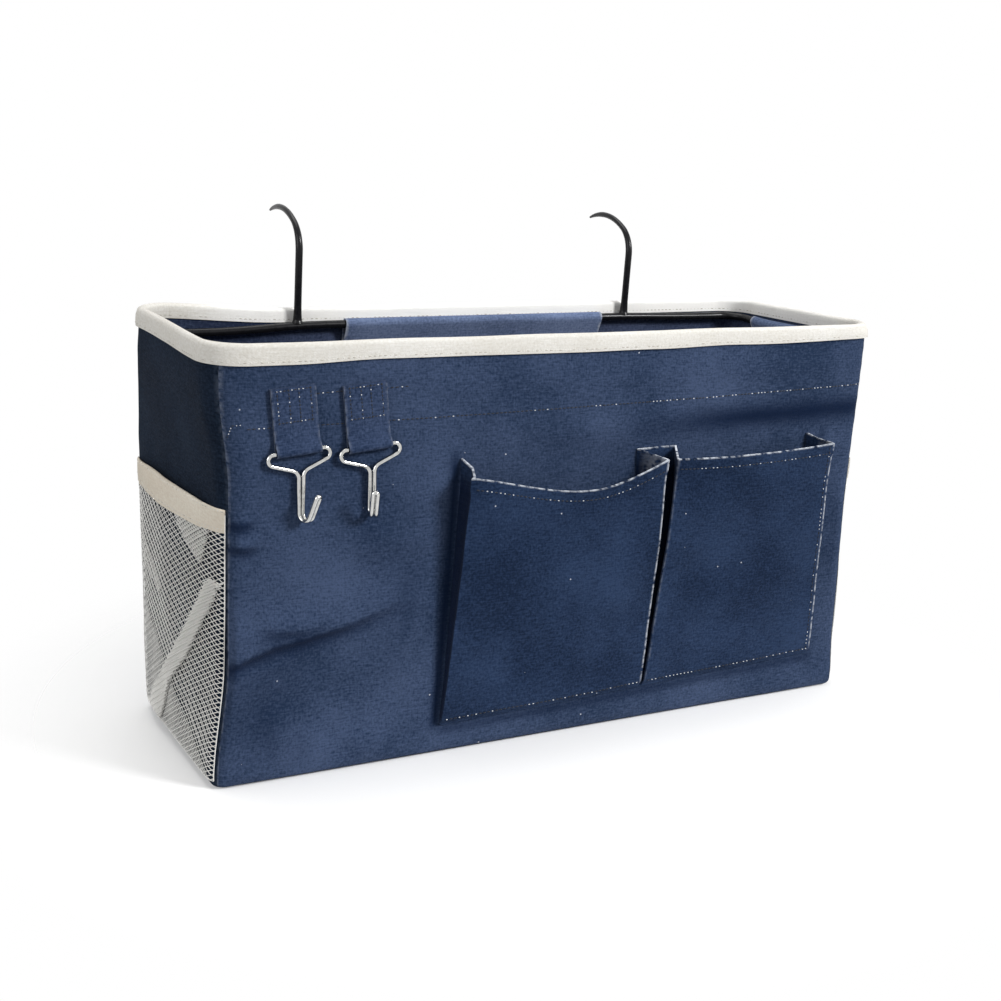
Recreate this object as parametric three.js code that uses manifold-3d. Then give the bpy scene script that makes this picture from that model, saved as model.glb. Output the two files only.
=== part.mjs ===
// Bedside caddy: a sewn canvas box with boards between its layers. A wire frame in sleeves
// holds the mouth open, and two wire hooks on the frame hang it on a bed rail.
// Millimetres, +Z up, the front faces -Y, and the floor under the box is z = 0.
import * as THREE from 'three';
import { mergeVertices } from 'three/addons/utils/BufferGeometryUtils.js';
import Module from 'manifold-3d';

const wasm = await Module();
wasm.setup();

const degree = Math.PI / 180;

// The box
const bodyWidth = 430;
const bodyDepth = 138;
const bodyHeight = 245;
const baseCornerRadius = 8;
const mouthCornerRadius = 24;
const bottomEdgeRadius = 4;
const frontBelly = 3;
const sideBelly = 2;

// Cloth, boards and the room that a seam leaves between two layers
const canvasThickness = 0.8;
const boardThickness = 1.8;
const liningThickness = 0.6;
const tapeThickness = 0.8;
const seamGap = 0.3;

// The tape over the rim
const rimTapeOutside = 10;
const rimTapeInside = 8;

// The wire frame in the mouth and the sleeves that hold it
const frameWireRadius = 2.5;
const frameBelowRim = 9.5;
const sleeveClothThickness = 0.7;
const sleeveEase = 0.3;
const sleeveSlant = 25 * degree;
const sleeveSeamBelowRim = 45;
const sleeveStepLength = 12;
const sleeveCornerMargin = 8;

// The hanging hooks
const hookWireRadius = 2.25;
const hookSpacing = 235;
const hooksOffCentre = -3.5;
const hookStemLength = 41;
const hookForwardLean = 3 * degree;
const crookRadius = 19;
const crookEnd = 30 * degree;
const crownRadius = 51;
const crownEnd = -20 * degree;
const footRadius = 3.6;
const footHeight = 5;
const rearSleeveFromLeftHook = 31;
const rearSleeveFromRightHook = 19;

// The side pockets of net
const netHeight = 153;
const netAboveFloor = 5;
const netThickness = 0.8;
const netHem = 4;
const netStrandWidth = 2;
const netSlack = 11;
const netColumns = 12;
const netRows = 14;
const netTapeHeight = 12;

// The strip of canvas that is pleated into the two front pockets
const pocketsFromLeftWall = 147;
const pocketsFromRightWall = 30;
const pocketLeftLeansOut = 12;
const pocketRightLeansOut = 4;
const pleatFootWidth = 26;
const pleatMouthGap = 11;
const pleatBottomGap = 2;
const endPleatWidth = 8.5;
const leftPocketShare = 0.5;
const pocketMouthHeight = 170;
const pocketMouthRise = 3.5;
const pocketMouthSag = 13;
const pocketSeamLeft = 18;
const pocketSeamRight = 27;
const pocketMouthDepth = 16;
const pocketBottomDepth = 3.6;
const pocketCrown = 2;
const pocketKink = 3;
const pleatFold = 0.9;
const pleatFootRise = 4.5;
const pocketRiseShares = [0, 0.03, 0.3, 0.65, 1];
const pocketCrownShares = [0.25, 0.5, 0.75];
const pocketSeamHeight = 4;

// The canvas tabs and the wire utility hooks that hang in them
const tabFromLeftWall = 46.5;
const tabSpacing = 40.5;
const tabBelowRim = 56.5;
const tabWidth = 25;
const tabLength = 34.5;
const tabLean = 5 * degree;
const tabEase = 0.4;
const utilityWireRadius = 1.2;
const strandGap = 0.3;
const wireInTab = 8;
const shoulderGap = 0.4;
const shoulderRadius = 3.2;
const armDip = 20 * degree;
const neckRadius = 5;
const stemLength = 19;
const stemSteps = 4;
const bowlRadius = 3.8;
const tipLean = 23 * degree;
const tipLength = 12;
const leftHookTwist = 28 * degree;
const rightHookTwist = -14 * degree;

// How finely round things are divided
const cornerSteps = 2;
const longWallSpans = 7;
const shortWallSpans = 3;
const wallRows = 4;
const frameWireSides = 8;
const hookWireSides = 8;
const utilityWireSides = 6;
const hookArcStep = 12 * degree;
const utilityArcStep = 30 * degree;
const strapArcSteps = 8;
const footSides = 16;

// How far a cut runs past what it cuts
const overrun = 2;

// Sizes that follow from the ones above
const wallStack = canvasThickness + seamGap + boardThickness + seamGap + liningThickness;
const baseStack = canvasThickness + seamGap + boardThickness + seamGap + liningThickness;
const wallTop = bodyHeight - tapeThickness - seamGap;
const seamTurn = 45 * degree - Math.asin(seamGap / 2 / baseCornerRadius);
const rimInside = wallStack + seamGap + tapeThickness;
const frameInset = rimInside + seamGap + sleeveClothThickness + sleeveEase + frameWireRadius;
const frameHeight = bodyHeight - frameBelowRim;

const navyCanvas = new THREE.MeshStandardMaterial({ color: 0x2d3c5a, roughness: 0.9, metalness: 0 });
const navyPocketCanvas = new THREE.MeshStandardMaterial({ color: 0x27364f, roughness: 0.9, metalness: 0 });
const navyLining = new THREE.MeshStandardMaterial({ color: 0x3a4358, roughness: 0.9, metalness: 0 });
const greyBoard = new THREE.MeshStandardMaterial({ color: 0x9a9a96, roughness: 0.8, metalness: 0 });
const creamTape = new THREE.MeshStandardMaterial({ color: 0xe6e2d8, roughness: 0.85, metalness: 0 });
const beigeTape = new THREE.MeshStandardMaterial({ color: 0xbdb2a2, roughness: 0.85, metalness: 0 });
const whiteNet = new THREE.MeshStandardMaterial({ color: 0xe4e3df, roughness: 0.7, metalness: 0 });
const blackWire = new THREE.MeshStandardMaterial({ color: 0x0c0c0d, roughness: 0.25, metalness: 0.1 });
const nickelWire = new THREE.MeshStandardMaterial({ color: 0xc9c5bb, roughness: 0.22, metalness: 1 });

// The four walls, seen from above and counted against the clock. "along" runs from the wall's
// first corner to its second, and "out" points away from the box.
const walls = {
  front: { along: [1, 0], out: [0, -1], half: bodyWidth / 2, distance: bodyDepth / 2, belly: frontBelly },
  right: { along: [0, 1], out: [1, 0], half: bodyDepth / 2, distance: bodyWidth / 2, belly: sideBelly },
  back: { along: [-1, 0], out: [0, 1], half: bodyWidth / 2, distance: bodyDepth / 2, belly: 0 },
  left: { along: [0, -1], out: [-1, 0], half: bodyDepth / 2, distance: bodyWidth / 2, belly: sideBelly },
};

// Builds a closed geometry and turns its faces outwards.
function closedGeometry(points, triangles) {
  let volume = 0;
  for (const [a, b, c] of triangles) {
    volume += points[a].dot(new THREE.Vector3().crossVectors(points[b], points[c]));
  }
  const faces = volume < 0 ? triangles.map(([a, b, c]) => [a, c, b]) : triangles;
  const geometry = new THREE.BufferGeometry();
  const positions = points.flatMap((point) => point.toArray());
  geometry.setAttribute('position', new THREE.Float32BufferAttribute(positions, 3));
  geometry.setIndex(faces.flat());
  geometry.computeVertexNormals();
  return geometry;
}

// Triangles that fill a section, turning the same way as its outline.
function sectionFaces(section) {
  const turn = Math.sign(THREE.ShapeUtils.area(section));
  return THREE.ShapeUtils.triangulateShape(section, []).map(([a, b, c]) => {
    const face = Math.sign(THREE.ShapeUtils.area([section[a], section[b], section[c]]));
    return face === turn ? [a, b, c] : [a, c, b];
  });
}

// Joins rings of equal length into one body. A closed loft runs back into its first ring;
// an open one is closed by capFaces, or by a fan where the section is convex.
function loft(rings, { closed = false, capFaces = null } = {}) {
  const count = rings[0].length;
  const triangles = [];
  const spans = closed ? rings.length : rings.length - 1;
  for (let ring = 0; ring < spans; ring++) {
    const here = ring * count;
    const next = ((ring + 1) % rings.length) * count;
    for (let i = 0; i < count; i++) {
      const j = (i + 1) % count;
      triangles.push([here + i, here + j, next + j], [here + i, next + j, next + i]);
    }
  }
  if (!closed) {
    const fan = Array.from({ length: count - 2 }, (_, i) => [0, i + 1, i + 2]);
    const end = (rings.length - 1) * count;
    for (const [a, b, c] of capFaces ?? fan) {
      triangles.push([a, c, b], [end + a, end + b, end + c]);
    }
  }
  return closedGeometry(rings.flat(), triangles);
}

// A sheet with thickness: two matching grids of points, closed along its four edges.
function sheetBetween(front, back) {
  const rows = front.length;
  const columns = front[0].length;
  const frontAt = (row, column) => row * columns + column;
  const backAt = (row, column) => rows * columns + row * columns + column;
  const triangles = [];
  const quad = (a, b, c, d) => triangles.push([a, b, c], [a, c, d]);
  for (let r = 0; r + 1 < rows; r++) {
    for (let c = 0; c + 1 < columns; c++) {
      quad(frontAt(r, c), frontAt(r, c + 1), frontAt(r + 1, c + 1), frontAt(r + 1, c));
      quad(backAt(r, c), backAt(r + 1, c), backAt(r + 1, c + 1), backAt(r, c + 1));
    }
  }
  const top = rows - 1;
  for (let c = 0; c + 1 < columns; c++) {
    quad(backAt(0, c), backAt(0, c + 1), frontAt(0, c + 1), frontAt(0, c));
    quad(frontAt(top, c), frontAt(top, c + 1), backAt(top, c + 1), backAt(top, c));
  }
  const side = columns - 1;
  for (let r = 0; r + 1 < rows; r++) {
    quad(frontAt(r, 0), frontAt(r + 1, 0), backAt(r + 1, 0), backAt(r, 0));
    quad(frontAt(r + 1, side), frontAt(r, side), backAt(r, side), backAt(r + 1, side));
  }
  return closedGeometry([...front.flat(), ...back.flat()], triangles);
}

// Gives a flat pattern of polygons a thickness. place(u, v, layer) puts a corner on the front,
// layer 0, or the back, layer 1. An edge that only one polygon has becomes a wall.
function thickPattern(polygons, place) {
  const numbers = new Map();
  const corners = [];
  const numberOf = ([u, v]) => {
    const key = `${u.toFixed(6)} ${v.toFixed(6)}`;
    if (!numbers.has(key)) {
      numbers.set(key, corners.length);
      corners.push([u, v]);
    }
    return numbers.get(key);
  };
  const outlines = polygons.map((polygon) => polygon.map(numberOf));
  const count = corners.length;
  const edges = new Set();
  for (const outline of outlines) {
    outline.forEach((a, i) => edges.add(`${a} ${outline[(i + 1) % outline.length]}`));
  }
  const triangles = [];
  for (const outline of outlines) {
    for (let i = 1; i + 1 < outline.length; i++) {
      triangles.push([outline[0], outline[i], outline[i + 1]]);
      triangles.push([count + outline[0], count + outline[i + 1], count + outline[i]]);
    }
    outline.forEach((a, i) => {
      const b = outline[(i + 1) % outline.length];
      if (!edges.has(`${b} ${a}`)) {
        triangles.push([b, a, count + a], [b, count + a, count + b]);
      }
    });
  }
  const layer = (number) => corners.map(([u, v]) => place(u, v, number));
  return closedGeometry([...layer(0), ...layer(1)], triangles);
}

// Carries a round section along points in space, without twisting it.
function wireAlong(points, radius, sides) {
  const directions = points.map((point, i) => {
    const before = points[Math.max(i - 1, 0)];
    const after = points[Math.min(i + 1, points.length - 1)];
    return after.clone().sub(before).normalize();
  });
  const least = directions[0].toArray().map(Math.abs);
  const axis = new THREE.Vector3().setComponent(least.indexOf(Math.min(...least)), 1);
  let across = axis.cross(directions[0]).normalize();
  const rings = points.map((point, i) => {
    if (i > 0) {
      const turn = new THREE.Quaternion().setFromUnitVectors(directions[i - 1], directions[i]);
      across = across.clone().applyQuaternion(turn);
    }
    const up = directions[i].clone().cross(across);
    return Array.from({ length: sides }, (_, k) => {
      const angle = 2 * Math.PI * k / sides;
      return point.clone()
        .addScaledVector(across, radius * Math.cos(angle))
        .addScaledVector(up, radius * Math.sin(angle));
    });
  });
  return loft(rings);
}

// Bends a wire in one plane: straight runs and arcs that follow each other without a corner.
function bentRun(start, heading, moves, arcStep) {
  const points = [start.clone()];
  let angle = heading;
  let at = start;
  for (const { length = 0, radius = 0, turn = 0 } of moves) {
    if (length > 0) {
      at = at.clone().add(new THREE.Vector2(Math.cos(angle), Math.sin(angle)).multiplyScalar(length));
      points.push(at);
    }
    if (turn !== 0) {
      const side = Math.sign(turn) * radius;
      const centre = at.clone().add(new THREE.Vector2(-Math.sin(angle), Math.cos(angle)).multiplyScalar(side));
      const steps = Math.ceil(Math.abs(turn) / arcStep);
      for (let i = 0; i < steps; i++) {
        at = at.clone().rotateAround(centre, turn / steps);
        points.push(at);
      }
      angle += turn;
    }
  }
  return points;
}

function solidOf(geometry) {
  const bare = new THREE.BufferGeometry();
  bare.setAttribute('position', geometry.getAttribute('position').clone());
  bare.setIndex(geometry.index ? geometry.index.clone() : null);
  const merged = mergeVertices(bare);
  return new wasm.Manifold(new wasm.Mesh({
    numProp: 3,
    vertProperties: new Float32Array(merged.getAttribute('position').array),
    triVerts: new Uint32Array(merged.index.array),
  }));
}

function geometryOf(solid) {
  const mesh = solid.getMesh();
  const geometry = new THREE.BufferGeometry();
  geometry.setAttribute('position', new THREE.BufferAttribute(new Float32Array(mesh.vertProperties), 3));
  geometry.setIndex(new THREE.BufferAttribute(new Uint32Array(mesh.triVerts), 1));
  geometry.computeVertexNormals();
  return geometry;
}

// The upright corners stay tight along their seams and open out near the mouth, which the
// frame holds round.
function cornerRadiusAt(z) {
  return baseCornerRadius + (mouthCornerRadius - baseCornerRadius) * (z / bodyHeight) ** 3;
}

// The bottom edge is rounded: how far the wall draws in at a height.
function edgeRoundAt(z) {
  const below = Math.max(bottomEdgeRadius - z, 0);
  return bottomEdgeRadius - Math.sqrt(bottomEdgeRadius ** 2 - below ** 2);
}

// Cloth bellies out in the middle of a wall and is held at its seams and at the rim.
function bulgeAt(wall, share, z) {
  return wall.belly * Math.sin(Math.PI * share) * Math.sin(Math.PI * z / bodyHeight);
}

// A point of a wall. A station has a share of the way along the straight, and a turn round the
// corner at either end. The inset is how far inside the outer face the point lies.
function bodyPoint(wall, { share, turn }, inset, z) {
  const radius = cornerRadiusAt(z);
  const reach = radius - inset - edgeRoundAt(z);
  const along = (2 * share - 1) * (wall.half - radius) + reach * Math.sin(turn);
  const out = wall.distance - radius + reach * Math.cos(turn) + bulgeAt(wall, share, z);
  return new THREE.Vector3(
    wall.along[0] * along + wall.out[0] * out,
    wall.along[1] * along + wall.out[1] * out,
    z,
  );
}

// The front wall's outer face at a place on it.
function frontFaceAt(x, z) {
  const straight = walls.front.half - cornerRadiusAt(z);
  return -bodyDepth / 2 - bulgeAt(walls.front, (x / straight + 1) / 2, z);
}

function spansOf(wall) {
  return wall === walls.front || wall === walls.back ? longWallSpans : shortWallSpans;
}

function straightStations(spans) {
  return Array.from({ length: spans + 1 }, (_, i) => ({ share: i / spans, turn: 0 }));
}

// A wall's cloth runs round its corners as far as the seam in the middle of each.
function clothStations(wall) {
  const turns = Array.from({ length: cornerSteps }, (_, i) => seamTurn * (i + 1) / cornerSteps);
  return [
    ...turns.toReversed().map((turn) => ({ share: 0, turn: -turn })),
    ...straightStations(spansOf(wall)),
    ...turns.map((turn) => ({ share: 1, turn })),
  ];
}

// Stations all the way round the box, for what is one piece round the mouth or the base.
function roundTheBox(spansFor) {
  return Object.values(walls).flatMap((wall) => {
    const turns = Array.from({ length: cornerSteps }, (_, i) => 45 * degree * (i + 1) / cornerSteps);
    return [
      ...turns.slice(0, -1).toReversed().map((turn) => ({ wall, share: 0, turn: -turn })),
      ...straightStations(spansFor(wall)).map((station) => ({ wall, ...station })),
      ...turns.map((turn) => ({ wall, share: 1, turn })),
    ];
  });
}

// Heights of a wall's rows: the rows between the ends are the same for every layer.
function wallHeights(low) {
  const rimRow = bodyHeight - rimTapeOutside;
  const between = Array.from({ length: wallRows }, (_, i) => rimRow * (i + 1) / wallRows);
  return [...low, ...between, wallTop];
}

function wallLayer(wall, stations, outerInset, thickness, heights) {
  const grid = (inset) => heights.map((z) => stations.map((station) => bodyPoint(wall, station, inset, z)));
  return sheetBetween(grid(outerInset), grid(outerInset + thickness));
}

const caddy = new THREE.Group();

function addMesh(name, geometry, material, parent = caddy) {
  const mesh = new THREE.Mesh(geometry, material);
  mesh.name = name;
  parent.add(mesh);
  return mesh;
}

// Walls: canvas outside, a board, and a lining that closes the board in
function addWall(name, wall, panelName) {
  const boardInset = canvasThickness + seamGap;
  const liningInset = boardInset + boardThickness + seamGap;
  const canvasFoot = canvasThickness + seamGap;
  const canvasLow = [canvasFoot, (canvasFoot + bottomEdgeRadius) / 2, bottomEdgeRadius];
  const innerLow = [baseStack + seamGap];
  const cloth = clothStations(wall);
  const board = straightStations(spansOf(wall));
  addMesh(panelName, wallLayer(wall, cloth, 0, canvasThickness, wallHeights(canvasLow)), navyCanvas);
  addMesh(`${name}_board`, wallLayer(wall, board, boardInset, boardThickness, wallHeights(innerLow)), greyBoard);
  addMesh(`${name}_lining`, wallLayer(wall, cloth, liningInset, liningThickness, wallHeights(innerLow)),
    navyLining);
}

// The base: its canvas follows the rounded bottom edge, and a board and a lining lie on it.
function addBasePlate(name, material, low, thickness, insetAt) {
  const stations = roundTheBox(spansOf);
  const ring = (z) => stations.map((station) => bodyPoint(station.wall, station, insetAt(z), z));
  const lower = ring(low);
  const section = lower.map((point) => new THREE.Vector2(point.x, point.y));
  addMesh(name, loft([lower, ring(low + thickness)], { capFaces: sectionFaces(section) }), material);
}

function addBase() {
  const inside = canvasThickness + seamGap;
  const boardLow = canvasThickness + seamGap;
  const liningLow = boardLow + boardThickness + seamGap;
  const drawnIn = (z) => inside + edgeRoundAt(inside) - edgeRoundAt(z);
  addBasePlate('base_panel', navyCanvas, 0, canvasThickness, () => 0);
  addBasePlate('base_board', greyBoard, boardLow, boardThickness, drawnIn);
  addBasePlate('base_lining', navyLining, liningLow, liningThickness, drawnIn);
}

// One tape, folded over the three layers all the way round the mouth
function addRimBinding() {
  const outer = -seamGap;
  const inner = wallStack + seamGap;
  const outerFoot = bodyHeight - rimTapeOutside;
  const innerFoot = bodyHeight - rimTapeInside;
  const fold = bodyHeight - tapeThickness;
  const section = [
    [outer - tapeThickness, outerFoot],
    [outer - tapeThickness, fold],
    [outer, bodyHeight],
    [inner, bodyHeight],
    [inner + tapeThickness, fold],
    [inner + tapeThickness, innerFoot],
    [inner, innerFoot],
    [inner, fold],
    [outer, fold],
    [outer, outerFoot],
  ];
  const rings = roundTheBox(spansOf).map((station) =>
    section.map(([inset, z]) => bodyPoint(station.wall, station, inset, z)));
  addMesh('rim_binding', loft(rings, { closed: true }), creamTape);
}

// A strap folded round a wire. The wire's axis is the origin, the wall is towards +x, and both
// tails run down, the front one lying on the back one. Step is how far the tails move to the wall.
function strapOutline(wireRadius, ease, cloth, step, tail) {
  const inner = wireRadius + ease;
  const outer = inner + cloth;
  const backOfFront = inner + step - seamGap;
  const eye = (radius, target) => {
    const points = [];
    for (let i = 0; i <= strapArcSteps; i++) {
      const angle = (180 * degree + sleeveSlant) * i / strapArcSteps;
      points.push(new THREE.Vector2(radius * Math.cos(angle), radius * Math.sin(angle)));
    }
    const from = points.at(-1);
    const run = (target - from.x) / Math.sin(sleeveSlant);
    points.push(new THREE.Vector2(target, from.y - run * Math.cos(sleeveSlant)));
    return points;
  };
  const outerLine = [
    new THREE.Vector2(outer + step, -tail),
    new THREE.Vector2(outer + step, -sleeveStepLength),
    ...eye(outer, backOfFront - cloth),
    new THREE.Vector2(backOfFront - cloth, -tail),
  ];
  const innerLine = [
    new THREE.Vector2(inner + step, -tail),
    new THREE.Vector2(inner + step, -sleeveStepLength),
    ...eye(inner, backOfFront),
    new THREE.Vector2(backOfFront, -tail),
  ];
  return [...outerLine, ...innerLine.reverse()];
}

// The strap's section stands in the y-z plane and runs along x, centred on x = 0.
function strapGeometry(outline, width) {
  const shape = new THREE.Shape(outline);
  const geometry = new THREE.ExtrudeGeometry(shape, { depth: width, bevelEnabled: false, steps: 1 });
  geometry.translate(0, 0, -width / 2);
  const turn = new THREE.Matrix4().makeBasis(
    new THREE.Vector3(0, 1, 0), new THREE.Vector3(0, 0, 1), new THREE.Vector3(1, 0, 0));
  return geometry.applyMatrix4(turn);
}

// The frame's wire, one ring round the mouth
function addHangerFrame() {
  const rings = roundTheBox(() => 1).map((station) =>
    Array.from({ length: frameWireSides }, (_, k) => {
      const angle = 2 * Math.PI * (k + 0.5) / frameWireSides;
      const straight = { ...station.wall, belly: 0 };
      const point = bodyPoint(straight, station, frameInset + frameWireRadius * Math.cos(angle), frameHeight);
      return point.setZ(frameHeight + frameWireRadius * Math.sin(angle));
    }));
  addMesh('hanger_frame', loft(rings, { closed: true }), blackWire);
}

// Sleeves: each is folded over the frame's wire and sewn to its wall below it.
const leftHookX = hooksOffCentre - hookSpacing / 2;
const rightHookX = hooksOffCentre + hookSpacing / 2;
const frameDepth = bodyDepth / 2 - frameInset;
const frameSide = bodyWidth / 2 - frameInset;

function addSleeves() {
  const step = tapeThickness + seamGap;
  const tail = sleeveSeamBelowRim - frameBelowRim;
  const outline = strapOutline(frameWireRadius, sleeveEase, sleeveClothThickness, step, tail);
  const cornerReach = mouthCornerRadius + sleeveCornerMargin;
  const rearStart = leftHookX + rearSleeveFromLeftHook;
  const rearEnd = rightHookX - rearSleeveFromRightHook;
  const places = [
    ['rear_sleeve', rearEnd - rearStart, (rearStart + rearEnd) / 2, frameDepth, 0],
    ['front_sleeve', bodyWidth - 2 * cornerReach, 0, -frameDepth, 180 * degree],
    ['left_sleeve', bodyDepth - 2 * cornerReach, -frameSide, 0, 90 * degree],
    ['right_sleeve', bodyDepth - 2 * cornerReach, frameSide, 0, -90 * degree],
  ];
  for (const [name, width, x, y, turn] of places) {
    const mesh = addMesh(name, strapGeometry(outline, width), navyLining);
    mesh.position.set(x, y, frameHeight);
    mesh.rotation.z = turn;
  }
}

// A hanging hook: a stem that leans a little forward, a tight crook and a long flat crown
// that reaches back over the rail. Its foot is welded over the frame's wire.
function hangingHookGeometry() {
  const stem = bentRun(new THREE.Vector2(0, footHeight / 2), 90 * degree + hookForwardLean, [
    { length: hookStemLength },
    { radius: crookRadius, turn: crookEnd - 90 * degree - hookForwardLean },
    { radius: crownRadius, turn: crownEnd - crookEnd },
  ], hookArcStep);
  const wire = wireAlong(stem.map(({ x, y }) => new THREE.Vector3(0, x, y)), hookWireRadius, hookWireSides);
  const foot = new THREE.CylinderGeometry(hookWireRadius, footRadius, footHeight, footSides);
  foot.rotateX(90 * degree);
  foot.translate(0, 0, footHeight / 2);
  const seatRadius = frameWireRadius + seamGap;
  const seat = new THREE.CylinderGeometry(seatRadius, seatRadius, 2 * (footRadius + overrun), footSides);
  seat.rotateZ(90 * degree);
  seat.translate(0, 0, -frameWireRadius + footHeight / 4);
  return geometryOf(solidOf(foot).add(solidOf(wire)).subtract(solidOf(seat)));
}

function addHangingHooks() {
  const seatHeight = frameHeight + frameWireRadius - footHeight / 4;
  for (const [name, x] of [['left_hanging_hook', leftHookX], ['right_hanging_hook', rightHookX]]) {
    const mesh = addMesh(name, hangingHookGeometry(), blackWire);
    mesh.position.set(x, frameDepth, seatHeight);
  }
}

// Where a share of the way across a wall's canvas lies, counted round both its corners
function acrossWall(wall, share, z) {
  const radius = cornerRadiusAt(z);
  const corner = radius * seamTurn;
  const straight = 2 * (wall.half - radius);
  const run = share * (2 * corner + straight);
  if (run < corner) return { share: 0, turn: run / radius - seamTurn };
  if (run > corner + straight) return { share: 1, turn: (run - corner - straight) / radius };
  return { share: (run - corner) / straight, turn: 0 };
}

// How far the net stands off its side panel: sewn down at the corner seams, and slack at the
// mouth, where its tape needs room as well.
function netLift(share, z) {
  const rise = Math.min((z - netAboveFloor) / netHeight, 1);
  const across = Math.sin(Math.PI * share);
  const tapeRoom = (tapeThickness + seamGap) * Math.max(Math.sqrt(rise), across);
  return seamGap + tapeRoom + netSlack * across * Math.sin(Math.PI / 2 * rise);
}

// The upright lines of the net's crossings, as shares of the way across, with its two edges
function netLines(wall) {
  const width = 2 * (wall.half - baseCornerRadius) + 2 * baseCornerRadius * seamTurn;
  const cellWidth = (width - 2 * netHem) / netColumns;
  const lines = Array.from({ length: netColumns + 1 }, (_, i) => (netHem + i * cellWidth) / width);
  return { cellWidth, shares: [0, ...lines, 1] };
}

// A point off the net's surface, which is straight from one line to the next.
function netPoint(wall, shares, position, off, z) {
  const line = Math.min(Math.floor(position), shares.length - 2);
  const onLine = (share) => bodyPoint(wall, acrossWall(wall, share, z), -netLift(share, z) - off, z);
  return onLine(shares[line]).lerp(onLine(shares[line + 1]), position - line);
}

// The net is a lattice of diagonal strands in a hem. Its pattern is counted in lines and rows,
// and a hem is one more line or row outside them. Each cell holds one diagonal strand.
function netGeometry(wall) {
  const { cellWidth, shares } = netLines(wall);
  const cellHeight = (netHeight - 2 * netHem) / netRows;
  const diagonal = Math.hypot(cellWidth, cellHeight);
  const u = netStrandWidth / 2 * diagonal / cellHeight / cellWidth;
  const v = netStrandWidth / 2 * diagonal / cellWidth / cellHeight;
  const rising = (i, j) => (i + j) % 2 === 0;
  const polygons = [];
  for (let i = 0; i < netColumns; i++) {
    for (let j = 0; j < netRows; j++) {
      polygons.push(rising(i, j)
        ? [[i, j], [i + u, j], [i + 1, j + 1 - v], [i + 1, j + 1], [i + 1 - u, j + 1], [i, j + v]]
        : [[i + 1, j], [i + 1, j + v], [i + u, j + 1], [i, j + 1], [i, j + 1 - v], [i + 1 - u, j]]);
    }
  }
  for (let i = 0; i < netColumns; i++) {
    const low = rising(i, 0) ? i + u : i + 1 - u;
    const high = rising(i, netRows) ? i + u : i + 1 - u;
    polygons.push([[i, -1], [i + 1, -1], [i + 1, 0], [low, 0], [i, 0]]);
    polygons.push([[i, netRows + 1], [i, netRows], [high, netRows], [i + 1, netRows], [i + 1, netRows + 1]]);
  }
  for (let j = 0; j < netRows; j++) {
    const first = rising(0, j) ? j + v : j + 1 - v;
    const last = rising(netColumns, j) ? j + v : j + 1 - v;
    polygons.push([[-1, j], [0, j], [0, first], [0, j + 1], [-1, j + 1]]);
    polygons.push([[netColumns + 1, j], [netColumns + 1, j + 1], [netColumns, j + 1], [netColumns, last],
      [netColumns, j]]);
  }
  for (const left of [-1, netColumns]) {
    for (const low of [-1, netRows]) {
      polygons.push([[left, low], [left + 1, low], [left + 1, low + 1], [left, low + 1]]);
    }
  }
  const rows = Array.from({ length: netRows + 1 }, (_, j) => netHem + j * cellHeight);
  const rises = [0, ...rows, netHeight];
  return thickPattern(polygons, (i, j, layer) => {
    const row = Math.min(Math.floor(j + 1), rises.length - 2);
    const z = netAboveFloor + THREE.MathUtils.lerp(rises[row], rises[row + 1], j + 1 - row);
    return netPoint(wall, shares, i + 1, layer * netThickness, z);
  });
}

// The tape folded over the net's top edge, caught in the box's corner seams at its ends
function netBindingGeometry(wall) {
  const { shares } = netLines(wall);
  const top = netAboveFloor + netHeight;
  const foot = top + seamGap + tapeThickness - netTapeHeight;
  const fold = top + seamGap;
  const back = -seamGap;
  const front = netThickness + seamGap;
  const section = [
    [back - tapeThickness, foot],
    [back, foot],
    [back, fold],
    [front, fold],
    [front, foot],
    [front + tapeThickness, foot],
    [front + tapeThickness, fold],
    [front, fold + tapeThickness],
    [back, fold + tapeThickness],
    [back - tapeThickness, fold],
  ];
  const rings = shares.map((_, i) => section.map(([off, z]) => netPoint(wall, shares, i, off, z)));
  const capFaces = sectionFaces(section.map(([off, z]) => new THREE.Vector2(off, z)));
  return loft(rings, { capFaces });
}

function addNetPocket(side, wall) {
  addMesh(`${side}_net`, netGeometry(wall), whiteNet);
  addMesh(`${side}_net_binding`, netBindingGeometry(wall), beigeTape);
}

// Moves an open outline sideways by a distance, with its corners mitred.
function offsetOutline(outline, distance) {
  const direction = (a, b) => b.clone().sub(a).normalize();
  const last = outline.length - 1;
  return outline.map((point, i) => {
    const into = i > 0 ? direction(outline[i - 1], point) : direction(point, outline[1]);
    const away = i < last ? direction(point, outline[i + 1]) : into;
    const middle = into.clone().add(away).normalize();
    const normal = new THREE.Vector2(-middle.y, middle.x);
    const reach = distance / (normal.x * -into.y + normal.y * into.x);
    return point.clone().addScaledVector(normal, reach);
  });
}

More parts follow.
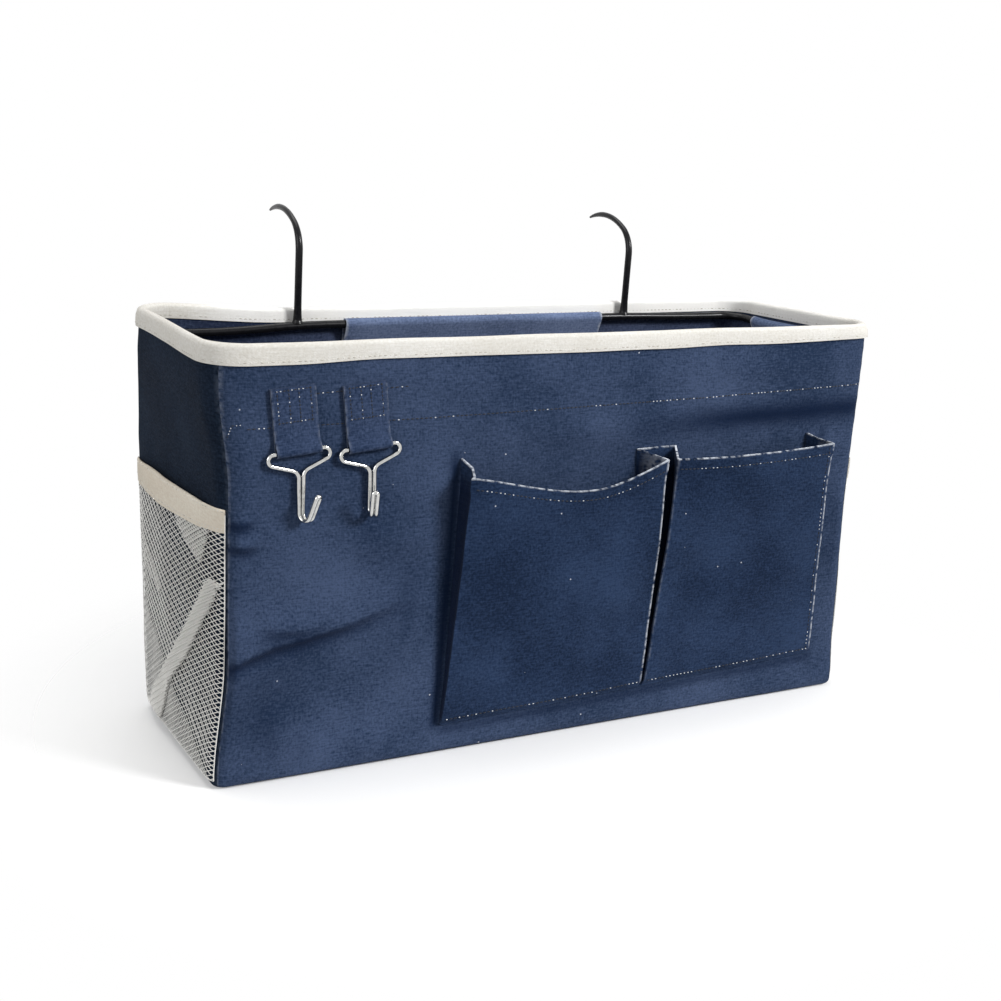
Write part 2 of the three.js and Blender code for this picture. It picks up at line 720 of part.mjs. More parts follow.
// The pocket strip seen from above, at a share of the way up from its bottom seam. Each corner
// has an x, an outward distance from the front panel, and heights at the seam and at the mouth.
// Two faces stand off the panel on pleats: one at each end and a box pleat between them.
function pocketOutline(rise) {
  const mix = (seam, mouth) => seam + (mouth - seam) * rise;
  const mouthLeft = -bodyWidth / 2 + pocketsFromLeftWall;
  const mouthRight = bodyWidth / 2 - pocketsFromRightWall;
  const split = mouthLeft + (mouthRight - mouthLeft) * leftPocketShare;
  const left = mix(mouthLeft - pocketLeftLeansOut, mouthLeft);
  const right = mix(mouthRight + pocketRightLeansOut, mouthRight);
  const gap = mix(pleatBottomGap, pleatMouthGap) / 2;
  const depth = mix(pocketBottomDepth, pocketMouthDepth);
  const crown = depth + mix(0, pocketCrown);
  const flat = seamGap + canvasThickness / 2;
  const faces = [
    { from: left, to: split - gap, sag: pocketMouthSag },
    { from: split + gap, to: right, sag: 0 },
  ];
  const heightAt = (x, out, sag) => {
    const across = (x - left) / (right - left);
    const seam = pocketSeamLeft + (pocketSeamRight - pocketSeamLeft) * across;
    const footRise = pleatFootRise * Math.max(1 - out / depth, 0);
    const mouth = pocketMouthHeight + pocketMouthRise * across - sag + footRise;
    return mix(seam, mouth);
  };
  const corners = [];
  const corner = (x, out, sag = 0) => corners.push({ x, out, z: heightAt(x, out, sag) });
  corner(left, seamGap);
  corner(left + mix(0, pocketKink), (depth + seamGap) / 2);
  for (const { from, to, sag } of faces) {
    corner(from, depth - pleatFold);
    corner(from, depth);
    for (const share of pocketCrownShares) {
      corner(from + (to - from) * share, crown, sag * Math.sin(Math.PI * share));
    }
    corner(to, depth);
    corner(to, depth - pleatFold);
    if (to < split) {
      corner(split - pleatFootWidth / 2, flat + pleatFold);
      corner(split - pleatFootWidth / 2, flat);
      corner(split + pleatFootWidth / 2, flat);
      corner(split + pleatFootWidth / 2, flat + pleatFold);
    }
  }
  corner(right - endPleatWidth, flat + pleatFold);
  corner(right - endPleatWidth, seamGap);
  return corners;
}

function pocketStripGeometry() {
  const grid = (distance) => pocketRiseShares.map((rise) => {
    const corners = pocketOutline(rise);
    const moved = offsetOutline(corners.map(({ x, out }) => new THREE.Vector2(x, out)), distance);
    return moved.map((point, i) => {
      const z = corners[i].z;
      return new THREE.Vector3(point.x, frontFaceAt(point.x, z) - point.y, z);
    });
  });
  const strip = sheetBetween(grid(canvasThickness / 2), grid(-canvasThickness / 2));
  const foot = pocketOutline(0);
  const seamLine = foot.filter(({ out }) => out === pocketBottomDepth);
  const seam = (out) => [canvasThickness, canvasThickness + pocketSeamHeight].map((rise) =>
    seamLine.map(({ x, z }) => new THREE.Vector3(x, frontFaceAt(x, z) - out, z + rise)));
  return geometryOf(solidOf(strip).add(solidOf(sheetBetween(seam(pocketBottomDepth), seam(seamGap)))));
}

// A utility hook is one wire, bent double. From inside the tab's fold it runs out to a shoulder,
// in along an arm and down the stem; the two strands turn together into the bowl and up to the
// tip, where the wire turns back. Twist is how far the bowl is turned about the stem. The stem
// hangs plumb below its neck, although the tab and the arms lean.
function utilityHookGeometry(twist) {
  const strand = utilityWireRadius + strandGap / 2;
  const tabHalf = tabWidth / 2;
  const shoulderX = tabHalf + utilityWireRadius + shoulderGap;
  const armRun = (shoulderX + shoulderRadius * Math.sin(armDip)
    - neckRadius * (1 - Math.sin(armDip)) - strand) / Math.cos(armDip);
  const arm = bentRun(new THREE.Vector2(tabHalf - wireInTab, 0), 0, [
    { length: shoulderX - tabHalf + wireInTab },
    { radius: shoulderRadius, turn: -180 * degree + armDip },
    { length: armRun },
    { radius: neckRadius, turn: 90 * degree - armDip },
  ], utilityArcStep);
  const neck = arm.at(-1).y;
  const bowl = bentRun(new THREE.Vector2(0, neck - stemLength), -90 * degree, [
    { radius: bowlRadius, turn: 180 * degree - tipLean },
    { length: tipLength },
  ], utilityArcStep);
  const across = new THREE.Vector3(Math.cos(twist), Math.sin(twist), 0);
  const forward = new THREE.Vector3(Math.sin(twist), -Math.cos(twist), 0);
  const inBowl = (point) => forward.clone().multiplyScalar(point.x).setZ(point.y);
  const half = (side) => {
    const points = arm.map(({ x, y }) => new THREE.Vector3(side * x, 0, y));
    for (let i = 1; i < stemSteps; i++) {
      const share = i / stemSteps;
      const turned = twist * share;
      points.push(new THREE.Vector3(
        side * strand * Math.cos(turned), side * strand * Math.sin(turned), neck - stemLength * share));
    }
    return [...points, ...bowl.map((point) => inBowl(point).addScaledVector(across, side * strand))];
  };
  const tip = inBowl(bowl.at(-1));
  const tipDirection = tip.clone().sub(inBowl(bowl.at(-2))).normalize();
  const turnBack = [];
  const turnSteps = 180 * degree / utilityArcStep;
  for (let i = 1; i < turnSteps; i++) {
    const angle = utilityArcStep * i;
    turnBack.push(tip.clone()
      .addScaledVector(across, strand * Math.cos(angle))
      .addScaledVector(tipDirection, strand * Math.sin(angle)));
  }
  const path = [...half(1), ...turnBack, ...half(-1).reverse()];
  const sideways = new THREE.Vector3(0, 1, 0);
  const hung = path.map((point) => point.z < neck
    ? point.setZ(point.z - neck).applyAxisAngle(sideways, tabLean).add(new THREE.Vector3(0, 0, neck))
    : point);
  return wireAlong(hung, utilityWireRadius, utilityWireSides);
}

// A tab is sewn on a little askew, and leans as the bellied panel does. Its hook turns in the
// bottom fold, which is the origin of the group.
function addTabWithHook(side, x, twist) {
  const eye = utilityWireRadius + tabEase + canvasThickness;
  const height = bodyHeight - tabBelowRim;
  const face = frontFaceAt(x, height);
  const group = new THREE.Group();
  group.position.set(x, face - seamGap - eye, height);
  group.rotation.x = -Math.atan((frontFaceAt(x, height + tabLength) - face) / tabLength);
  group.rotation.y = -tabLean;
  const tailsDown = strapOutline(utilityWireRadius, tabEase, canvasThickness, 0, tabLength);
  const tailsUp = tailsDown.map(({ x: out, y: up }) => new THREE.Vector2(out, -up));
  addMesh(`${side}_hook_tab`, strapGeometry(tailsUp, tabWidth), navyCanvas, group);
  addMesh(`${side}_utility_hook`, utilityHookGeometry(twist), nickelWire, group);
  caddy.add(group);
}

addWall('front', walls.front, 'front_panel');
addWall('back', walls.back, 'back_panel');
addWall('left', walls.left, 'left_side_panel');
addWall('right', walls.right, 'right_side_panel');
addBase();
addRimBinding();
addHangerFrame();
addSleeves();
addHangingHooks();
addNetPocket('left', walls.left);
addNetPocket('right', walls.right);
addMesh('front_pockets', pocketStripGeometry(), navyPocketCanvas);
addTabWithHook('left', -bodyWidth / 2 + tabFromLeftWall, leftHookTwist);
addTabWithHook('right', -bodyWidth / 2 + tabFromLeftWall + tabSpacing, rightHookTwist);

export default caddy;
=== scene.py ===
# %% [markdown]
# # A bedside caddy of sewn canvas
# The real object is a canvas box with boards between its layers. A wire ring in cloth sleeves holds
# its mouth open, two wire hooks hang it on a bed rail, and cream tape binds the rim. On the front are
# two pleated pockets and two small hooks in canvas tabs, and each side has a pocket of net. The CAD
# model gives the places. This file makes every piece again as cloth, tape, net or wire.

# %% The frame
from collections import namedtuple
from math import asin, atan, ceil, copysign, cos, exp, hypot, pi, radians, sin, sqrt

import bpy
from mathutils import Matrix, Vector, noise


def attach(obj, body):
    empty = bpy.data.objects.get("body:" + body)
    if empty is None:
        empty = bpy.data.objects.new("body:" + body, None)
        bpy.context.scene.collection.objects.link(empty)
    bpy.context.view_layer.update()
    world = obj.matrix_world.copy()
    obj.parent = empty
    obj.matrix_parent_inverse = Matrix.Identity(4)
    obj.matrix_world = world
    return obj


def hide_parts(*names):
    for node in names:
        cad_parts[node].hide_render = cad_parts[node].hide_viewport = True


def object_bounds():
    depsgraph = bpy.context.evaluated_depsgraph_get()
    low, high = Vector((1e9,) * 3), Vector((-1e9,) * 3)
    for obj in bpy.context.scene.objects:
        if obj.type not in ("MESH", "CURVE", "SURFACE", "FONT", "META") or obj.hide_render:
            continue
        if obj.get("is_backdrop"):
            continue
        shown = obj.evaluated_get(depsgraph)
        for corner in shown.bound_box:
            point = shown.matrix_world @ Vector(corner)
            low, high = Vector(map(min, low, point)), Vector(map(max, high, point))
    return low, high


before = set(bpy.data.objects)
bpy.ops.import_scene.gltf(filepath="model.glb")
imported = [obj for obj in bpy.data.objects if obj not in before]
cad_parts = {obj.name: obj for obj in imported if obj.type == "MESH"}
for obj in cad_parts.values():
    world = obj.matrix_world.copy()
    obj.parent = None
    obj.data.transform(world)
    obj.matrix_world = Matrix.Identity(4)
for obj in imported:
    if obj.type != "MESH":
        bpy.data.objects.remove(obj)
cad_low, cad_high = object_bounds()
cad_box = [list(cad_low), list(cad_high)]

# %% [markdown]
# ## Sizes
# A maker thinks in millimetres, so every size here is in millimetres and one factor takes them to
# Blender's metres. The sizes are those of the CAD model, so each piece lands where its solid is.

# %% Sizes of the box
MM = 0.001
WIDTH, DEPTH, HEIGHT = 430.0, 138.0, 245.0
BASE_CORNER, MOUTH_CORNER, BOTTOM_EDGE = 8.0, 24.0, 4.0
CANVAS, BOARD, LINING, TAPE, GAP = 0.8, 1.8, 0.6, 0.8, 0.3
LINING_AT = CANVAS + GAP + BOARD + GAP
STACK = LINING_AT + LINING
WALL_TOP = HEIGHT - TAPE - GAP
SEAM_TURN = radians(45)
SLEEVE, RING_RADIUS, RING_DROP = 0.7, 2.5, 9.5
RING_INSET = STACK + GAP + TAPE + GAP + SLEEVE + GAP + RING_RADIUS
RING_HEIGHT, RING_X, RING_Y = HEIGHT - RING_DROP, WIDTH / 2 - RING_INSET, DEPTH / 2 - RING_INSET

# One side of the box: along runs from its first corner to its second, and out points away.
Wall = namedtuple("Wall", "name along out half distance belly")
WALLS = {name: Wall(name, Vector((x, y, 0)), Vector((y, -x, 0)), half, distance, belly)
         for name, x, y, half, distance, belly in (
             ("front", 1, 0, WIDTH / 2, DEPTH / 2, 3.0), ("right", 0, 1, DEPTH / 2, WIDTH / 2, 2.0),
             ("back", -1, 0, WIDTH / 2, DEPTH / 2, 0.0), ("left", 0, -1, DEPTH / 2, WIDTH / 2, 2.0))}


def clamp(value):
    return min(max(value, 0), 1)


def smooth(low, high, value):
    t = clamp((value - low) / (high - low))
    return t * t * (3 - 2 * t)


def hump(value, middle, width):
    return exp(-(((value - middle) / width) ** 2))


def spread(low, high, spans):
    """Evenly spaced values, both ends among them."""
    return [low + (high - low) * i / spans for i in range(spans + 1)]


def bumps(a, b, c):
    return noise.noise(Vector((a, b, c)))


def corner_radius(z):
    return BASE_CORNER + (MOUTH_CORNER - BASE_CORNER) * (max(z, 0) / HEIGHT) ** 3


def drawn_in(z):
    """How far the rounded bottom edge draws a wall in."""
    below = min(max(BOTTOM_EDGE - z, 0), BOTTOM_EDGE)
    return BOTTOM_EDGE - sqrt(BOTTOM_EDGE**2 - below**2)


def wall_point(wall, station, inset, z):
    """A point of a wall: station is (share of the straight, turn round a corner)."""
    share, turn = station
    radius = corner_radius(z)
    reach = radius - inset - drawn_in(z)
    along = (2 * share - 1) * (wall.half - radius) + reach * sin(turn)
    belly = wall.belly * sin(pi * share) * sin(pi * max(z, 0) / HEIGHT)
    point = wall.along * along + wall.out * (wall.distance - radius + reach * cos(turn) + belly)
    point.z = z
    return point


def flat_place(wall, station, z):
    """How far along its flat cloth a station lies."""
    radius = corner_radius(z)
    return (2 * station[0] - 1) * (wall.half - radius) + radius * station[1]


def stations_of(wall, corner, long, short):
    """Stations from seam to seam: steps round each corner, and along a long or a short wall."""
    straight = spread(0.0, 1.0, long if wall.half == WIDTH / 2 else short)
    turns = spread(0.0, SEAM_TURN, corner)[1:]
    before, after = [(0.0, -turn) for turn in reversed(turns)], [(1.0, turn) for turn in turns]
    return before + [(share, 0.0) for share in straight] + after


def round_the_box(corner, long, short):
    """Stations all the way round, each with its wall."""
    return [(wall, station) for wall in WALLS.values()
            for station in stations_of(wall, corner, long, short)[1:]]


print("wall stack", round(STACK, 2), "mm; frame wire at y", round(RING_Y, 2))

# %% [markdown]
# ## Where the box is out of true
# The real box is soft, and it isn't a perfect brick. Seen in the photograph, its mouth is racked: the
# back left and the front right corners stand out, and the front left edge is drawn in half way up,
# where the net pulls on it. One smooth function moves every point of cloth and board like that. The
# wire is stiff: it goes out with the cloth but not up, and lies a little low at both ends of the box.

# %% Out of true
BACK_LEFT, FRONT_RIGHT, FRONT_LEFT = Vector((-5.5, 6.5, 4.5)), Vector((11.5, -2.5, 0)), Vector((6.3, -1, 0))


def pulled(p):
    front, up = clamp(0.5 - p.y / DEPTH), min(max((p.z - 125) / 115, 0), 0.95)
    back_left = smooth(-128, -WIDTH / 2, p.x) * clamp(p.y / DEPTH + 0.5) * clamp(p.z / HEIGHT)
    front_right = smooth(100, WIDTH / 2, p.x) * front**1.5
    front_right *= 0.12 + 0.15 * smooth(40, 0, p.z) + 0.9 * up**1.35
    front_left = smooth(-150, -WIDTH / 2, p.x) * front * smooth(0, 75, p.z) * smooth(228, 165, p.z)
    return p + BACK_LEFT * back_left + FRONT_RIGHT * front_right + FRONT_LEFT * front_left


def wire_pulled(p):
    left = 3.5 * smooth(-105, -180, p.x) * clamp(p.y / DEPTH + 0.5)
    right = 1.3 * smooth(100, 180, p.x) + 1.9 * smooth(150, 200, p.x) * smooth(60, 20, p.y)
    moved = pulled(p)
    moved.z = p.z - left - right
    return moved


print("the back left corner moves", round(BACK_LEFT.length, 1), "mm")

# %% [markdown]
# ## Camera
# The photograph looks down a little on the front and the left side. The box's corners in it gave the
# lens and the angles, by a least-squares fit. The roll stands for a photo that was cut out askew.

# %% Camera
def show(name, data):
    thing = bpy.data.objects.new(name, data)
    bpy.context.scene.collection.objects.link(thing)
    return thing


LENS_PIXELS, FRAME_PIXELS, SENSOR = 1488.0, 1001.0, 36.0
YAW, PITCH, ROLL = radians(28.32), radians(14.38), radians(2.43)
DISTANCE, AIM, SLIDE = 939.0, Vector((0, 0, 130)), (-6.7, -0.2)


def photo_camera():
    ahead = Vector((sin(YAW) * cos(PITCH), cos(YAW) * cos(PITCH), -sin(PITCH)))
    level = Vector((cos(YAW), -sin(YAW), 0))
    upright = level.cross(ahead)
    right, up = level * cos(ROLL) + upright * sin(ROLL), upright * cos(ROLL) - level * sin(ROLL)
    camera = show("camera", bpy.data.cameras.new("camera"))
    camera.data.sensor_width, camera.data.lens = SENSOR, LENS_PIXELS / FRAME_PIXELS * SENSOR
    camera.data.clip_start, camera.data.clip_end = 0.05, 20
    place = (AIM - ahead * DISTANCE + right * SLIDE[0] + up * SLIDE[1]) * MM
    camera.matrix_world = Matrix.Translation(place) @ Matrix((right, up, -ahead)).transposed().to_4x4()
    bpy.context.scene.camera = camera
    return camera


print("lens", round(photo_camera().data.lens, 1), "mm")

# %% [markdown]
# ## Materials
# Every finish is a node graph. A small helper keeps the graphs readable: it makes a node and fills its
# sockets with values or with other nodes' outputs. Cloth reads the piece's own UV map, which is laid
# out in metres, so that a thread has its real size on every piece.

# %% A helper for node graphs
def add_node(tree, kind, sockets=None, **settings):
    made = tree.nodes.new(kind)
    for key, value in settings.items():
        setattr(made, key, value)
    for key, value in (sockets or {}).items():
        if isinstance(value, bpy.types.NodeSocket):
            tree.links.new(value, made.inputs[key])
        else:
            made.inputs[key].default_value = value
    return made


class Graph:
    def __init__(self, name):
        self.material = bpy.data.materials.new(name)
        self.material.use_nodes = True
        self.tree = self.material.node_tree
        self.tree.nodes.clear()

    def node(self, kind, sockets=None, output=0, **settings):
        return add_node(self.tree, kind, sockets, **settings).outputs[output]

    def math(self, operation, a, b=0.0, clamp=False):
        return self.node("ShaderNodeMath", {0: a, 1: b}, operation=operation, use_clamp=clamp)

    def times(self, a, b):
        return self.math("MULTIPLY", a, b)

    def plus(self, a, b, clamp=False):
        return self.math("ADD", a, b, clamp)

    def contrast(self, value, gain):
        """Spreads a noise about its middle, 0.5."""
        return self.times(self.math("SUBTRACT", value, 0.5), gain)

    def mix(self, factor, a, b):
        return self.node("ShaderNodeMix", {0: factor, 6: a, 7: b}, output=2, data_type="RGBA")

    def noise(self, place, scale, detail, stretch=None):
        if stretch:
            place = self.node("ShaderNodeMapping", {"Vector": place, "Scale": stretch})
        return self.node("ShaderNodeTexNoise", {"Vector": place, "Scale": scale, "Detail": detail})

    def attribute(self, name):
        return self.node("ShaderNodeAttribute", attribute_name=name, output=2)

    def bump(self, height, distance, strength, **more):
        sockets = {"Height": height, "Distance": distance, "Strength": strength, **more}
        return self.node("ShaderNodeBump", sockets)

    def finish(self, **sockets):
        sockets = {key.replace("_", " "): value for key, value in sockets.items()}
        shader = self.node("ShaderNodeBsdfPrincipled", sockets)
        add_node(self.tree, "ShaderNodeOutputMaterial", {0: shader})
        return self.material


def rgb(red, green, blue):
    """A colour as it is read off a screen, from 0 to 255, made linear."""
    linear = [((c / 255 + 0.055) / 1.055) ** 2.4 if c > 10 else c / 255 / 12.92 for c in (red, green, blue)]
    return (*linear, 1.0)


BLACK = rgb(0, 0, 0)
print("the graph helper is ready")

# %% [markdown]
# ## Woven cloth
# Canvas is a plain weave: warp and weft cross one over one. The product of two sine waves, one along
# each direction, rises and falls like that, so it serves as the bump. Slubs, which are thick places in
# a yarn, are noise drawn out along the weft, and broad blotches stand for handling and fading. The
# attribute "edge" pales the cloth where it is folded sharp and at seams: wear at the corner seams and
# strap edges, a painted highlight on the pockets' folds and mouth, and painted light on the rim tape.
# A second attribute is painted shade: it is 1 in the depth of a crease and in painted shadows by the pockets.

# %% Woven cloth
def woven(name, dark, light, wear_and_highlight, thread=0.00075, streaks=1.2, lint=0.0, even=False):
    """even is for cloth that pales all over where its edge attribute is high, not in broken patches.
    Noise scales are per metre of cloth."""
    dark, light, wear_and_highlight = rgb(*dark), rgb(*light), rgb(*wear_and_highlight)
    g = Graph(name)
    place = g.node("ShaderNodeUVMap", uv_map="UVMap")
    across = add_node(g.tree, "ShaderNodeSeparateXYZ", {0: place}).outputs
    weave = g.times(*[g.math("SINE", g.times(across[i], 2 * pi / thread)) for i in (0, 1)])
    weft, warp = g.noise(place, 1.0, 2.0, (140, 1100, 1)), g.noise(place, 1.0, 1.0, (1300, 240, 1))
    grain, blotch = g.noise(place, 620.0, 2.0), g.noise(place, 15.0, 4.0)
    tone = g.plus(g.plus(g.contrast(weft, streaks), g.contrast(blotch, 2.2)),
                  g.plus(g.contrast(warp, streaks * 0.6), g.contrast(grain, 1.7)))
    base = g.mix(g.plus(tone, 0.5, clamp=True), dark, light)
    base = g.mix(g.times(g.math("SUBTRACT", 1.0, weave), 0.12), base, BLACK)
    # Painted shade: where the shade attribute is high, the cloth goes to a deep dark blue.
    base = g.mix(g.attribute("soil"), base, (dark[0] * 0.14, dark[1] * 0.3, dark[2] * 0.46, 1))
    # The edge attribute pales the cloth: wear at seams and strap edges, painted highlights on the pockets'
    # folds and mouth, painted light on the rim tape.
    patches = g.plus(g.contrast(g.noise(place, 260.0, 3.0), 5.0), 0.62, clamp=True)
    base = g.mix(g.attribute("edge") if even else g.times(g.attribute("edge"), patches), base, wear_and_highlight)
    if lint:
        cell = add_node(g.tree, "ShaderNodeTexVoronoi", {"Vector": place, "Scale": 115.0}).outputs
        chosen = g.math("GREATER_THAN", g.node("ShaderNodeSeparateColor", {0: cell["Color"]}), 1 - lint)
        fleck = g.times(g.math("LESS_THAN", cell["Distance"], 0.055), chosen)
        base = g.mix(g.times(fleck, 0.8), base, rgb(205, 210, 220))
    crumpled = g.bump(g.noise(place, 80.0, 4.0), 0.0009, 0.7)
    height = g.plus(weave, g.plus(g.times(weft, 1.6), g.times(grain, 1.6)))
    return g.finish(Base_Color=base, Roughness=0.9, Normal=g.bump(height, 0.00014, 0.9, Normal=crumpled),
                    Specular_IOR_Level=0.03, Sheen_Weight=0.03, Sheen_Roughness=0.5)


canvas = woven("navy_canvas", (34, 50, 76), (70, 85, 115), (170, 178, 194), lint=0.09)
# The sides' canvas is the front's navy canvas painted darker: painted shade, matched to the left side that
# faces away from the key lamp.
side_canvas = woven("side_canvas", (12, 23, 39), (33, 46, 64), (104, 112, 128), lint=0.03)
pocket_canvas = woven("pocket_canvas", (18, 34, 59), (46, 64, 95), (214, 219, 228), lint=0.14)
tab_canvas = woven("tab_canvas", (34, 49, 76), (70, 85, 116), (190, 197, 210), lint=0.05)
lining_cloth = woven("lining_cloth", (40, 50, 74), (72, 82, 108), (120, 128, 148), thread=0.0006)
sleeve_cloth = woven("sleeve_cloth", (83, 98, 130), (120, 136, 170), (226, 228, 232), thread=0.0006)
cream_tape = woven("cream_tape", (226, 222, 213), (244, 242, 237), (250, 249, 246), 0.0007, 0.8, even=True)
beige_tape = woven("beige_tape", (232, 220, 202), (247, 240, 225), (250, 248, 243), 0.0007, 0.8)
print("woven finishes made")

# %% [markdown]
# ## Wire, thread and board
# The hanging wires are dipped in glossy black, so a thin clear coat lies over a dark base. The small
# hooks are nickel on steel: pure metal with a faint brushed variation. Net yarn and sewing thread are
# fine and matt. The boards are inside the walls and show nowhere, but they get a fibre finish too.

# %% Wire, thread and board
def plain(name, scale, detail, dark, light, rough, relief=None, stretch=None, **finish):
    """A finish whose colour, gloss and relief all follow one noise over the piece."""
    g = Graph(name)
    cloud = g.noise(g.node("ShaderNodeTexCoord", output=3), scale, detail, stretch)
    if rough:
        finish["Roughness"] = g.node("ShaderNodeMapRange", {"Value": cloud, 3: rough[0], 4: rough[1]})
    if relief:
        finish["Normal"] = g.bump(cloud, relief, 0.5)
    return g.finish(Base_Color=g.mix(cloud, rgb(*dark), rgb(*light)), **finish)


def yarn(name, dark, pale, sheen=0.1):
    g = Graph(name)
    twist = g.noise(g.node("ShaderNodeTexCoord", output=3), 2200.0, 2.0)
    # The pale colour, on the bars that the stitch tree marks, is a painted highlight.
    colour = g.mix(g.times(twist, 0.35), g.mix(g.attribute("pale"), rgb(*dark), rgb(*pale)), BLACK)
    return g.finish(Base_Color=colour, Roughness=0.8, Normal=g.bump(twist, 0.00008, 0.7), Sheen_Weight=sheen)


black_wire = plain("black_wire", 260.0, 4.0, (10, 10, 12), (24, 24, 27), (0.2, 0.36), 0.00004,
                   Specular_IOR_Level=0.14, Coat_Weight=0.07, Coat_Roughness=0.08)
nickel_wire = plain("nickel_wire", 420.0, 3.0, (158, 158, 156), (222, 222, 220), (0.04, 0.14), Metallic=1.0)
board_finish = plain("fibre_board", 300.0, 4.0, (128, 126, 120), (158, 156, 150), None, 0.0001, (1, 1, 6),
                     Roughness=0.85)
navy_thread = yarn("navy_thread", (12, 18, 32), (222, 225, 230))
cream_thread = yarn("cream_thread", (205, 200, 190), (240, 238, 232))
net_yarn = yarn("net_yarn", (246, 245, 241), (252, 252, 250), sheen=0.2)
for name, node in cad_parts.items():
    if name.endswith("_board"):
        for slot in node.material_slots:
            slot.material = board_finish
        if not node.material_slots:
            node.data.materials.append(board_finish)
print("materials:", len(bpy.data.materials))

# %% [markdown]
# ## Making a sheet
# All cloth here is made one way: two matching grids of points, one for each face, joined round their
# four edges into one closed skin. UV coordinates are the distances on the flat cloth. A loft joins
# rings of points instead, each ring closed in itself, for tapes and wires.

# %% Making a sheet
def signed_volume(points, faces):
    return sum(points[face[0]].dot(points[b].cross(points[c]))
               for face in faces for b, c in zip(face[1:-1], face[2:]))


def make_piece(name, points, faces, material, uvs, edge, soil, sharp, firm, body="caddy", lap=None):
    """firm pieces keep out of the box's racking. lap says where a ring of cloth meets its own start: the
    last ring's first point, the length all the way round, and the points in a ring."""
    if not firm:
        points = [pulled(point) for point in points]
    if signed_volume(points, faces) < 0:
        faces = [tuple(reversed(face)) for face in faces]
    mesh = bpy.data.meshes.new(name)
    mesh.from_pydata([tuple(point * MM) for point in points], [], faces)
    layer = mesh.uv_layers.new(name="UVMap").data
    for face in mesh.polygons:
        lapped = lap and any(v >= lap[0] for v in face.vertices) and any(v < lap[2] for v in face.vertices)
        for loop in face.loop_indices:
            v = mesh.loops[loop].vertex_index
            layer[loop].uv = ((uvs[v][0] + (lap[1] if lapped and v < lap[2] else 0)) * MM, uvs[v][1] * MM)
    for label, values in (("edge", edge), ("soil", soil)):
        if values and any(values):
            mesh.attributes.new(label, "FLOAT", "POINT").data.foreach_set("value", values)
    mesh.materials.append(material)
    mesh.update()
    mesh.shade_smooth()
    mesh.set_sharp_from_angle(angle=radians(sharp))
    piece = show(name, mesh)
    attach(piece, body)
    return piece


def sheet(name, rows, columns, at, material, sharp=40, firm=False):
    """at(row, column) gives the outer point, the inner one, the place on the flat cloth, the edge value (wear
    and painted highlight) and the painted shade.
    """
    outer, inner, flat, edge, soil = zip(*[at(row, column) for row in rows for column in columns])
    high, wide, count = len(rows), len(columns), len(outer)
    faces = []
    for a in (r * wide + c for r in range(high - 1) for c in range(wide - 1)):
        face = (a, a + 1, a + wide + 1, a + wide)
        faces += [face, tuple(count + v for v in reversed(face))]
    rim = list(range(wide)) + [r * wide + wide - 1 for r in range(1, high)]
    rim += [(high - 1) * wide + c for c in range(wide - 2, -1, -1)]
    rim += [r * wide for r in range(high - 2, 0, -1)]
    faces += [(b, a, count + a, count + b) for a, b in zip(rim, rim[1:] + rim[:1])]
    return make_piece(name, outer + inner, faces, material, flat * 2, edge * 2, soil * 2, sharp, firm)


def loft(name, rings, material, uvs, edge=None, body="caddy", closed=False, sharp=40, firm=False, length=0):
    count, last = len(rings[0]), len(rings) - 1
    faces = []
    for r in range(last + closed):
        here, there = r * count, (r + 1) % len(rings) * count
        for i, j in zip(range(count), [*range(1, count), 0]):
            faces.append((here + i, here + j, there + j, there + i))
    if not closed:
        faces += [tuple(range(count - 1, -1, -1)), tuple(last * count + i for i in range(count))]
    points, uvs = [p for ring in rings for p in ring], [uv for ring in uvs for uv in ring]
    lap = (last * count, length, count) if length else None
    return make_piece(name, points, faces, material, uvs, edge, None, sharp, firm, body, lap)


def dress(piece, node, slot, flat=None, **told):
    """Hides the CAD node that a piece replaces; its slot, a sheet's flat size and how it lies are not used.
    """
    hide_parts(node)


def run_of(points):
    """The distance run at each point of a line."""
    runs = [0.0]
    for a, b in zip(points, points[1:]):
        runs.append(runs[-1] + (b - a).length)
    return runs


print("sheet and loft are ready")

# %% [markdown]
# ## Folds in the cloth
# The walls are stiff with board, but the canvas over them is a little loose. Its creases come from
# two sources: smooth noise for the general unevenness, and a short list of ridges at the places where
# the photograph shows them. All of it only pushes the cloth outwards, because the board is behind it.

# %% Folds in the cloth
FRONT_FOLDS = [
    # the line of the fold's crest, how far it reaches above and below it, and its height
    ([(-219, 70), (-204, 77), (-186, 82), (-167, 84), (-138, 90), (-114, 97), (-88, 100)], 22, 3.4, 4.2),
    ([(-219, 66), (-200, 66), (-180, 70), (-160, 78)], 3.0, 16, 1.5),
    ([(-219, 153), (-206, 151), (-194, 154)], 12, 2.6, 4.0),
    ([(-219, 141), (-204, 138), (-192, 139)], 6, 2.4, 2.6),
    ([(-184, 50), (-181, 30), (-172, 3)], 12, 6.5, 1.7),
    ([(-166, 34), (-160, 18), (-154, 3)], 10, 6, 1.2),
    ([(-200, 93), (-184, 91), (-166, 90), (-144, 93)], 7, 3.2, 1.9),
    ([(-140, 26), (-128, 12), (-122, 3)], 12, 5, 1.3),
    ([(-92, 128), (-97, 90), (-112, 40)], 12, 7, 1.3),
    ([(-118, 168), (-122, 140), (-128, 118)], 9, 7, 1.2),
    ([(-60, 196), (0, 188), (60, 191), (130, 196)], 8, 12, 0.9),
    ([(200, 165), (205, 110), (203, 50)], 6, 6, 1.4),
    ([(-150, 128), (-110, 136), (-80, 131)], 14, 9, 1.1),
]
SEEDS = {"front": (3.1, 61.0), "right": (17.7, 67.0), "back": (31.3, 71.0), "left": (47.9, 73.0)}


